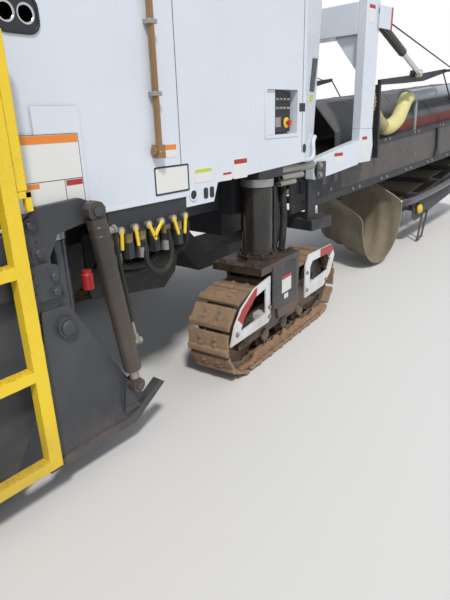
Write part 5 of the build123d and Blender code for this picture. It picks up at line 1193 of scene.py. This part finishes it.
class PLANER_OT_yoke(bpy.types.Operator):
    """Swinging yoke with its dark saddle, white arms, legs and crossbeam, brackets, labels and stays"""

    bl_idname = "planer.yoke"
    bl_label = "Yoke"

    def execute(self, context):
        hub = lathe([(0.4, 0.06), (0.5403, 0.06), (0.5403, 0.15), (0.6547, 0.15)], 40, (SWING_X, 0, 0))
        dark = [hub, box(1.04, 1.36, -0.9, 0.9, 0.655, 0.755)]
        white = [box(1.792, 2.025, -0.8117, 0.8117, 2.31, 2.57)]
        arm = [(1.04, 1.11), (1.16, 1.11), (1.7917, 1.18), (1.7917, 1.40), (1.56, 1.365), (1.075, 1.28),
               (1.04, 1.25)]
        foot = [(1.792, 1.19), (2.025, 1.19), (2.055, 1.34), (2.025, 1.4997), (1.792, 1.4997)]
        lug = [(1.985, 2.36), (2.132, 2.38), (2.132, 2.46), (1.985, 2.48)]
        cap = [(0, 0.06), (0.012, 0.06), (0.018, 0.05), (0.022, 0.03)]
        heads, pins, brackets, covers, edges, labels, strips = [], [], [], [], [], [], []
        for side in (-1, 1):
            near, out, way = side * 0.812, side * 0.9, (0, side, 0)
            lap, shell = out + side * 0.0145, out + side * 0.022
            gusset = [(side * 0.8117, 1.99), (side * 0.552, 2.3097), (side * 0.8117, 2.3097)]
            dark.append(box(1.04, 1.16, near, side * 0.852, 0.7553, 1.1097))
            white += [holed(arm, 1.105, 1.19, 0.0375, near, out), slab(foot, near, out),
                      box(1.792, 2.025, near, out, 1.5, 2.88),
                      slab(lug, out + side * 0.0003, out + side * 0.014),
                      slab(gusset, 1.832, 1.985, "yz")]
            pins += [bar((2.112, side * 0.832, 2.42), (2.112, side * 0.91, 2.42), 0.022, 16),
                     lathe(cap, 24, (1.105, out, 1.19), way)]
            covers += [box(1.985, 2.225, lap, shell, 2.365, 2.55),
                       box(2.0253, 2.225, side * 0.8, lap, 2.544, 2.55),
                       box(2.217, 2.225, out + side * 0.0003, lap, 2.365, 2.55)]
            edges += [box(2.2, 2.226, shell, out + side * 0.0245, 2.365, 2.551),
                      box(1.79, 2.027, side * 0.81, side * 0.902, 2.872, 2.882)]
            brackets.append(slab(rounded(1.045, 1.185, 1.115, 1.262, 0.012), shell, out + side * 0.03))
            heads.append(bolts([(1.085, out + side * 0.03, z) for z in (1.15, 1.23)], way, 0.036))
            for x0, x1, z0, z1 in ((1.83, 1.93, 2.4, 2.54), (1.84, 1.93, 1.25, 1.43),
                                   (1.36, 1.5, 1.215, 1.31)):
                labels.append(skin(rounded(x0, x1, z0, z1, 0.006), out, 0.0015))
                strips.append(box(x0, x1, out, out + side * 0.0022, z1 - 0.028, z1))
        for title, parts, look, bevel in (
                ("base", dark, "frame grey", 0.006), ("pins", pins, "frame grey", 0.0),
                ("covers", covers, "white", 0.002), ("edges", edges, "signal red", 0.001),
                ("brackets", brackets, "plate grey", 0.002),
                ("labels", labels, "label white", 0.0), ("strips", strips, "signal red", 0.0)):
            piece("yoke_" + title, moved(join(*parts), SWING), look, "yoke", bevel=bevel)
        piece("yoke_mast", moved(join(*white), SWING), "white", "yoke", bevel=0.012, steps=3,
              stands_for=("yoke",))
        piece("yoke_bolts", moved(join(*heads), SWING), "bolt zinc", "yoke")
        stays = []
        for y in (-0.9073, 0.9073):
            top = SWING @ np.array((2.205, y, 2.43, 1.0))
            far = LIFT @ np.array((2.84, y, 0.7, 1.0))
            stays.append(bar(top[:3], far[:3], 0.0065, 8))
        start = (SWING @ np.array((2.2, 0, 2.43, 1)))[:3]
        end = (LIFT @ np.array((2.8, 0, 0.7, 1)))[:3]
        piece("stays", join(*stays), "rubber", slot="steel", blend=("yoke", "conveyor", start, end))
        return {"FINISHED"}


class PLANER_OT_conveyor(bpy.types.Operator):
    """Side walls, beams, strut bars, cover bands, strips, dust hose and duct of the discharge conveyor"""

    bl_idname = "planer.conveyor"
    bl_label = "Discharge conveyor"

    def execute(self, context):
        self.frame()
        self.dust(context.scene.planer_sizes.dust_hose_size / 2)
        return {"FINISHED"}

    def put(self, title, shapes, look, **more):
        """Pieces of the conveyor, drawn level and then lifted and swung with it."""
        piece(title, moved(join(*shapes), LIFT), look, "conveyor", **more)

    def frame(self):
        """Walls, beams, shafts, strips, bearings, cables, bolts and bands."""
        wall = [(-0.2, -0.37), (5.25, -0.37), (5.25, 0.075), (-0.09, 0.075), (-0.2, -0.065)]
        tail = [(-0.2, -0.3), (0.64, -0.3), (0.64, 0.044), (-0.115, 0.044), (-0.2, -0.065)]
        ear = [(5.13, -0.3703), (5.28, -0.3703), (5.28, -0.434), (5.21, -0.434)]
        strut = [(1.25, 0.625), (1.75, 0.615), (2.25, 0.615), (2.86, 0.68), (2.86, 0.72), (2.1, 0.69),
                 (1.25, 0.675)]
        lug = [(1.94, 0.66), (2.06, 0.66), (2.03, 0.736), (1.97, 0.736)]
        rib = [(2.83, -0.3), (2.98, -0.3), (2.93, -0.2), (2.91, 0.045), (2.86, 0.045), (2.88, -0.2)]
        cap = [(0, 0.034), (0.02, 0.032), (0.026, 0.022), (0.03, 0.01)]
        roll = [(-0.487, 0.112), (-0.487, 0.115), (0.487, 0.115), (0.487, 0.112)]
        shafts = [lathe(roll, 32, (0, 0, -0.15), (0, 1, 0))]
        shafts.append(bar((0, -0.7257, -0.15), (0, 0.7257, -0.15), 0.04, 16))
        brown, dark, marks, strips, caps, heads, cables = [], [], [], [], [], [], []
        for side in (-1, 1):
            out, guide, edge = side * 0.74, side * 0.7463, side * 0.77
            brown.append(slab(wall, side * 0.726, out))
            dark += [box(-0.2, 5.25, side * 0.68, side * 0.7257, -0.37, -0.356),
                     box(-0.2, 5.25, out, side * 0.75, -0.37, -0.3),
                     box(0.5, 5.25, out, side * 0.754, 0.046, 0.088),
                     skin(tail, out, 0.006), skin(rib, out, 0.03), skin(np.add(rib, (1.55, 0)), out, 0.03),
                     box(-0.06, 0.06, guide, side * 0.764, -0.21, -0.09), slab(ear, side * 0.7003, out),
                     slab(strut, edge, side * 0.806), slab(lug, edge, side * 0.806),
                     box(1.25, 1.28, guide, side * 0.8, -0.085, 0.63)]
            for x, z, y0, y1, radius, sides in (
                    (0, 0, guide, side * 0.898, 0.035, 20), (2.84, 0.7, edge, side * 0.915, 0.014, 12),
                    (5.25, -0.404, side * 0.66, out, 0.024, 16),
                    (2.0, 0.7, side * 0.801, side * 0.8297, 0.028, 16)):
                shafts.append(bar((x, y0, z), (x, y1, z), radius, sides))
            caps.append(lathe(cap, 20, (0.13, side * 0.746, -0.22), (0, side, 0)))
            # Painted shade: dark sheets laid over the wall's slots
            marks.append(skin(rounded(2.265, 2.345, -0.24, -0.14, 0.036, 6), out, 0.002))
            marks += [skin(rounded(x, x + wide, -0.2, -0.07, 0.012), side * 0.746, 0.002)
                      for x, wide in ((0.3, 0.07), (0.5, 0.06))]
            strips.append(box(1.9, 5.2, side * 0.602, side * 0.607, 0.085, 0.2))
            cables.append(bar((2.84, side * 0.775, 0.7), (3.44, side * 0.76, 0.08), 0.008, 8))
            spots = [(x + dx, side * 0.75, -0.335) for x in np.arange(0.85, 5.0, 0.6) for dx in (0, 0.13)]
            spots += [(x + dx, side * 0.754, 0.067) for x in np.arange(1.5, 5.0, 0.72) for dx in (0, 0.1)]
            spots += [(x, side * 0.746, z) for x, z in ((0.2, -0.08), (0.22, -0.26), (0.44, -0.26),
                                                        (0.6, -0.02))]
            heads.append(bolts(spots, (0, side, 0), 0.02))
        dark += [box(x, x + 0.06, -0.6797, 0.6797, -0.37, -0.31) for x in np.linspace(0.15, 5.1, 8)]
        outline = [(-0.604, 0.06), (-0.604, 0.227), (-0.362, 0.499), (0.362, 0.499), (0.604, 0.227),
                   (0.604, 0.06)]
        loop = outline + [(y * 0.992, z - 0.004) for y, z in outline[::-1]]
        bands = [slab(loop, x, x + 0.045, "yz") for x in (0.77, 1.5, 2.2, 3.0, 3.8, 4.55, 5.15)]
        self.put("conveyor_walls", brown, "conveyor brown", bevel=0.003, stands_for=("conveyor_frame",))
        self.put("conveyor_beams", dark, "frame grey", bevel=0.003)
        self.put("conveyor_shafts", shafts, "frame grey")
        self.put("side_slot_shade", marks, "screen")
        self.put("skirt_strips", strips, "skirt red", bevel=0.002)
        self.put("tail_bearings", caps, "yellow")
        self.put("strut_cables", cables, "rubber", slot="steel")
        self.put("side_bolts", heads, "bolt zinc")
        self.put("cover_bands", bands, "grey cover", bevel=0.001)

    def dust(self, radius):
        """Dust hose from the tank over the conveyor, and the duct that it runs into."""
        hose = smooth_path([(0.93, -0.64, 1.2), (1.03, -0.66, 1.12), (1.08, -0.69, 0.9),
                            (1.157, -0.69, 0.635), (1.307, -0.69, 0.389), (1.447, -0.69, 0.25),
                            (1.634, -0.69, 0.178), (1.863, -0.69, 0.228), (2.02, -0.67, 0.33),
                            (2.159, -0.64, 0.41), (2.29, -0.61, 0.455)], 60)
        path = moved((hose, []), LIFT)[0]
        piece("dust_hose_top", corrugated(path[:34], radius, 0.024, 0.1, 24), "mesh hose",
              blend=("yoke", "conveyor", tuple(path[4]), tuple(path[24])))
        piece("dust_hose", corrugated(path[32:], radius * 1.01, 0.03, 0.06, 24), "pale hose", "conveyor")
        tubes = [([(0, 0.084), (0.05, 0.084), (0.055, 0.078), (0.09, 0.078)], 2.22)]
        tubes += [([(0, 0.07), (0, 0.076), (0.03, 0.076), (0.03, 0.07)], x) for x in (2.95, 3.9, 4.85)]
        collars = [lathe(profile, 28, (x, -0.6, 0.46), (1, 0, 0)) for profile, x in tubes]
        self.put("dust_collars", collars, "dull steel")
        pipe = [(0, 0.07), (0.004, 0.072), (2.896, 0.072), (2.9, 0.07)]
        duct = [lathe(pipe, 28, (2.3, -0.6, 0.46), (1, 0, 0))]
        duct += [box(x, x + 0.05, -0.6203, -0.6003, 0.0473, 0.44) for x in (2.5, 3.75, 5.0)]
        self.put("dust_duct_tube", duct, "duct grey", stands_for=("dust_duct",))


class PLANER_OT_belts(bpy.types.Operator):
    """Slack belt loop with its folds and the tip's bumper, bearings and stand"""

    bl_idname = "planer.belts"
    bl_label = "Belt loop and tip"

    def execute(self, context):
        self.slack_belt(1.515, 0.97, -0.282)
        half = [(1.6, -0.745, 0.115), (2.2, -0.745, 0.07), (2.73, -0.745, 0.015), (3.0, -0.745, -0.02),
                (3.13, -0.72, -0.04), (3.19, -0.64, -0.05), (3.2, -0.5, -0.05)]
        around = half + [(a, -b, c) for a, b, c in half[::-1]]
        cap = [(0, 0.06), (0.02, 0.06), (0.025, 0.045), (0.035, 0.04), (0.036, 0.02)]
        bearing, stand = [], []
        for side in (-1, 1):
            y = side * 0.715
            bearing.append(lathe(cap, 20, (2.725, side * 0.724, 0.185), (0, side, 0)))
            stand += [box(x, x + 0.05, side * 0.7003, side * 0.735, z, z + 0.06)
                      for x, z in ((1.7, 0.06), (2.55, 0.02))]
            stand += [bar((a, y, 0.3), (b, y, 0.61), 0.014, 8) for a, b in ((2.44, 2.62), (2.6, 2.74))]
            stand.append(bar((2.6, y, 0.605), (2.76, y, 0.605), 0.016, 8))
        for title, shape, look, bevel in (("tip_bumper", tube(around, 0.044, 120, 16), "bumper blue", 0.0),
                                          ("tip_bearings", join(*bearing), "yellow", 0.002),
                                          ("tip_stand", join(*stand), "frame grey", 0.0)):
            piece(title, moved(shape, FOLD), look, "conveyor_tip", bevel=bevel)
        return {"FINISHED"}

    def slack_belt(self, centre_x, drop, top):
        """Belt hanging askew: a half ellipse with two sine folds, its lower part drawn aside."""
        uu, vv = np.meshgrid(np.linspace(0, 1, 84), np.linspace(-1, 1, 29), indexing="ij")
        angle = np.pi * (1.08 - 1.16 * uu)
        hang = np.sin(np.pi * uu)
        fold = 0.022 * np.sin(6 * vv + 9 * uu) * hang + 0.014 * np.sin(13 * vv - 11 * uu) * hang
        x = centre_x + 0.185 * vv + (0.375 - 0.08 * vv + fold) * np.cos(angle)
        z = top - (drop + 0.5 * fold - 0.04 * (1 + vv)) * hang ** 0.7
        below = np.clip((top - 0.1 - z) / 0.3, 0, 1)
        y = 0.457 * vv - 0.4 * below * below * (3 - 2 * below)
        sheet = np.stack([x, y, z], -1)
        inward = unit(np.stack([centre_x - x, np.zeros_like(y), top - drop / 2 - z], -1)) * 0.014
        around = np.concatenate([sheet, (sheet + inward)[:, ::-1]], 1)
        anchor = (LIFT @ np.array((centre_x, 0, top, 1)))[:3]
        axis = (LIFT @ np.array((0, 0, -1, 0)))[:3]
        piece("slack_belt", moved(rings(around), LIFT), "belt", "conveyor", stands_for=("belt_loop",),
              squash=("conveyor_unfold", tuple(axis), tuple(anchor), 0.35))


# Upper body


class PLANER_OT_upper_body(bpy.types.Operator):
    """Handles, latches, louvre blades, lamps, screens, seams, tread and ribs of the upper body"""

    bl_idname = "planer.upper_body"
    bl_label = "Upper body"

    def execute(self, context):
        self.engine_bay()
        self.rear()
        self.desks()
        self.floor_and_canopy()
        return {"FINISHED"}

    def engine_bay(self):
        """Louvre blades, latches, handles, seams, grips and the exhaust's flap."""
        blades = []
        for way in (-1, 1):
            for x in -5.2495 + 0.13 * np.arange(5):
                for z in 1.53 + 0.043 * np.arange(6):
                    blade = [(way * 1.19, z), (way * 1.208, z - 0.02), (way * 1.208, z - 0.014),
                             (way * 1.19, z + 0.006)]
                    blades.append(slab(blade, x, x + 0.065, "yz"))
        piece("louvre_blades", join(*blades), "black plastic", smooth=False)
        latches = [slab(rounded(x, x + 0.09, 1.86, 1.95, 0.01), FACE, FACE - 0.012) for x in (-6.1, -4.4)]
        piece("bay_latches", both(*latches), "black plastic", "engine_hood", bevel=0.003)
        grip = [(-5.6, FACE, 2.0), (-5.6, -1.25, 2.01), (-5.5, -1.26, 2.01), (-5.4, -1.25, 2.01),
                (-5.4, FACE, 2.0)]
        piece("hood_handles", both(tube(grip, 0.012, 24, 8)), "dull steel", "engine_hood")
        for title, body, rows in (("hood_seams", "engine_hood", ((-5.0, 1.93, 2.53), (-5.75, 1.93, 2.45))),
                                  ("bay_seams", "chassis", ((-4.5, 1.3, 1.88),))):
            seams = [box(x, x + 0.004, FACE, FACE - 0.0012, low, high) for x, low, high in rows]
            piece(title, both(*seams), "seam", body, smooth=False)
        grips = [box(-5.6, -5.2, y - 0.12, y + 0.12, 2.56, 2.575) for y in (-0.6, 0.0, 0.6)]
        piece("hood_grips", join(*grips), "black plastic", "engine_hood", bevel=0.004)
        lid = [(0, 0.073), (0.012, 0.073), (0.014, 0.04), (0.02, 0.03)]
        piece("exhaust_flap", lathe(lid, 24, (-4.5, 0.62, 2.8), (0.25, 0, 1)), "dull steel", "engine_hood")

    def rear(self):
        """Lenses of the tail lamps and slanted stripes on the bumper."""
        lens = [(0, 0.026), (0.008, 0.025), (0.012, 0.015), (0.013, 0.004)]
        lenses = [lathe(lens, 20, (-6.52, y, z), (-1, 0, 0)) for y in (-1.095, 1.095) for z in (1.60, 1.665)]
        piece("lamp_lenses", join(*lenses), "lamp red")
        slant = ((0, 1.06), (0.12, 1.06), (0.2, 1.22), (0.08, 1.22))
        stripes = [slab([(y + dy, z) for dy, z in slant], -6.541, -6.5405, "yz")
                   for y in -0.98 + 0.245 * np.arange(8)]
        piece("bumper_stripes", join(*stripes), "signal red", smooth=False)

    def desks(self):
        """Screen, five knobs and a lever on each of the two tilted desks."""
        ball = [(0.07, 0.01), (0.085, 0.02), (0.105, 0.02), (0.12, 0.008)]
        screen = slab(rounded(-0.11, 0.03, -0.13, 0.13, 0.015), 0.0, 0.012, "xy")
        knobs = [lathe([(0, 0.012), (0.014, 0.011), (0.018, 0.006)], 12, (0.07, y, 0))
                 for y in (-0.12, -0.06, 0, 0.06, 0.12)]
        lever = join(bar((0.1, -0.15, 0), (0.1, -0.15, 0.08), 0.008, 8), lathe(ball, 12, (0.1, -0.15, 0)))
        desks = [shift(-2.35, y, 2.655) @ spin("Y", 21) for y in (-0.73, 0.73)]
        piece("desk_screens", stamp(screen, desks), "screen", bevel=0.003)
        piece("desk_knobs", stamp(join(*knobs), desks), "signal red")
        piece("desk_levers", stamp(lever, desks), "black plastic")

    def floor_and_canopy(self):
        """Tread pattern of crossed bars on the platform, ribs and work lamps of the canopy."""
        x = np.arange(-3.9, -2.1, 0.06)
        y = np.arange(-1.14, 1.15, 0.06)
        gx, gy = (a.ravel() for a in np.meshgrid(x, y))
        odd = ((np.arange(len(x))[None] + np.arange(len(y))[:, None]) % 2).ravel()
        tread = []
        for long_x, long_y, pick in ((0.017, 0.0035, odd == 0), (0.0035, 0.017, odd == 1)):
            raised = box(-long_x, long_x, -long_y, long_y, 0, 0.002)
            tread.append(stamp(raised, [shift(a, b, 1.72) for a, b in zip(gx[pick], gy[pick])]))
        piece("floor_tread", join(*tread), "dull steel", slot="frame_paint", smooth=False)
        ribs = [box(-3.95, -2.0, y - 0.03, y + 0.03, 3.03, 3.052) for y in (-0.8, -0.27, 0.27, 0.8)]
        piece("canopy_ribs", join(*ribs), "white", "canopy", bevel=0.003)
        lamp = [(0, 0.03), (0.05, 0.055), (0.055, 0.055), (0.056, 0.02)]
        work = [lathe(lamp, 20, (x, y, 2.99), (way, 0, -0.4)) for x, way in ((-1.94, 1), (-4.01, -1))
                for y in (-0.9, 0.9)]
        piece("work_lamps", join(*work), "black plastic", "canopy")


# Stage


class PLANER_OT_stage(bpy.types.Operator):
    """Pale floor, soft light and the camera at the photograph's viewing angle"""

    bl_idname = "planer.stage"
    bl_label = "Stage"

    def execute(self, context):
        scene = context.scene
        scene.view_settings.view_transform = "Standard"
        floor_mat = bpy.data.materials.new("pale floor")
        floor_mat.use_nodes = True
        shader = floor_mat.node_tree.nodes["Principled BSDF"]
        shader.inputs["Base Color"].default_value = (0.62, 0.61, 0.6, 1)
        shader.inputs["Roughness"].default_value = 0.9
        mesh = bpy.data.meshes.new("floor")
        far = 60.0
        mesh.from_pydata([(-far, -far, 0), (far, -far, 0), (far, far, 0), (-far, far, 0)], [], [(0, 1, 2, 3)])
        mesh.materials.append(floor_mat)
        floor = bpy.data.objects.new("floor", mesh)
        scene.collection.objects.link(floor)
        world = bpy.data.worlds.new("studio")
        world.use_nodes = True
        scene.world = world
        tree = world.node_tree
        light = tree.nodes["Background"]
        light.inputs[0].default_value = (0.86, 0.92, 1.0, 1)
        light.inputs[1].default_value = 0.75
        seen = node(tree, "ShaderNodeBackground")
        seen.inputs[0].default_value = (1, 1, 1, 1)
        rays = node(tree, "ShaderNodeLightPath")
        direct = calc(tree, "MAXIMUM", rays.outputs["Is Camera Ray"], rays.outputs["Is Transmission Ray"])
        mixer = node(tree, "ShaderNodeMixShader")
        tree.links.new(direct, mixer.inputs[0])
        tree.links.new(light.outputs[0], mixer.inputs[1])
        tree.links.new(seen.outputs[0], mixer.inputs[2])
        tree.links.new(mixer.outputs[0], tree.nodes["World Output"].inputs[0])
        sun = bpy.data.lights.new("sun", "SUN")
        sun.energy = 2.6
        sun.angle = 0.12
        sun.color = (1.0, 0.97, 0.92)
        lamp = bpy.data.objects.new("sun", sun)
        lamp.rotation_euler = (math.radians(38), math.radians(-8), math.radians(-28))
        scene.collection.objects.link(lamp)
        lens = bpy.data.cameras.new("camera")
        lens.sensor_fit = "VERTICAL"
        lens.sensor_height = 36
        lens.lens = 30
        lens.clip_end = 200
        camera = bpy.data.objects.new("camera", lens)
        right = np.array((0.62476, -0.78026, -0.02961))
        forward = np.array((0.72646, 0.59475, -0.34427))
        up = np.cross(right, forward)
        m = np.eye(4)
        m[:3, 0], m[:3, 1], m[:3, 2], m[:3, 3] = right, up, -forward, (-2.975, -3.07, 1.65)
        camera.matrix_world = Matrix(m.tolist())
        scene.collection.objects.link(camera)
        scene.camera = camera
        return {"FINISHED"}


class PLANER_PT_panel(bpy.types.Panel):
    """Lists the sizes, colours and steps"""

    bl_idname = "PLANER_PT_panel"
    bl_label = "Planer"
    bl_space_type = "VIEW_3D"
    bl_region_type = "UI"
    bl_category = "Planer"

    def draw(self, context):
        for group in (context.scene.planer_sizes, context.scene.planer_colours):
            for key in group.__annotations__:
                self.layout.prop(group, key)
        for step in STEPS:
            self.layout.operator(step.bl_idname)


STEPS = (PLANER_OT_finishes, PLANER_OT_tracks, PLANER_OT_tank, PLANER_OT_valves, PLANER_OT_side_plates,
         PLANER_OT_ladders, PLANER_OT_drum, PLANER_OT_yoke, PLANER_OT_conveyor, PLANER_OT_belts,
         PLANER_OT_upper_body, PLANER_OT_stage)
CLASSES = (PlanerSizes, PlanerColours) + STEPS + (PLANER_PT_panel,)


def register():
    """Register the classes and hang the two groups on the scene."""
    for item in CLASSES:
        bpy.utils.register_class(item)
    bpy.types.Scene.planer_sizes = bpy.props.PointerProperty(type=PlanerSizes)
    bpy.types.Scene.planer_colours = bpy.props.PointerProperty(type=PlanerColours)


def unregister():
    """Take the groups and classes away."""
    del bpy.types.Scene.planer_colours
    del bpy.types.Scene.planer_sizes
    for item in reversed(CLASSES):
        bpy.utils.unregister_class(item)


def corners(bounds):
    """A box as plain lists of numbers."""
    return [[float(value) for value in corner] for corner in bounds]


def main():
    """Build everything in order."""
    register()
    bpy.ops.planer.finishes()
    bpy.ops.planer.tracks()
    bpy.ops.planer.tank()
    bpy.ops.planer.valves()
    bpy.ops.planer.side_plates()
    bpy.ops.planer.ladders()
    bpy.ops.planer.drum()
    bpy.ops.planer.yoke()
    bpy.ops.planer.conveyor()
    bpy.ops.planer.belts()
    bpy.ops.planer.upper_body()
    bpy.ops.planer.stage()
    bpy.context.view_layer.update()


if __name__ == "__main__":
    main()
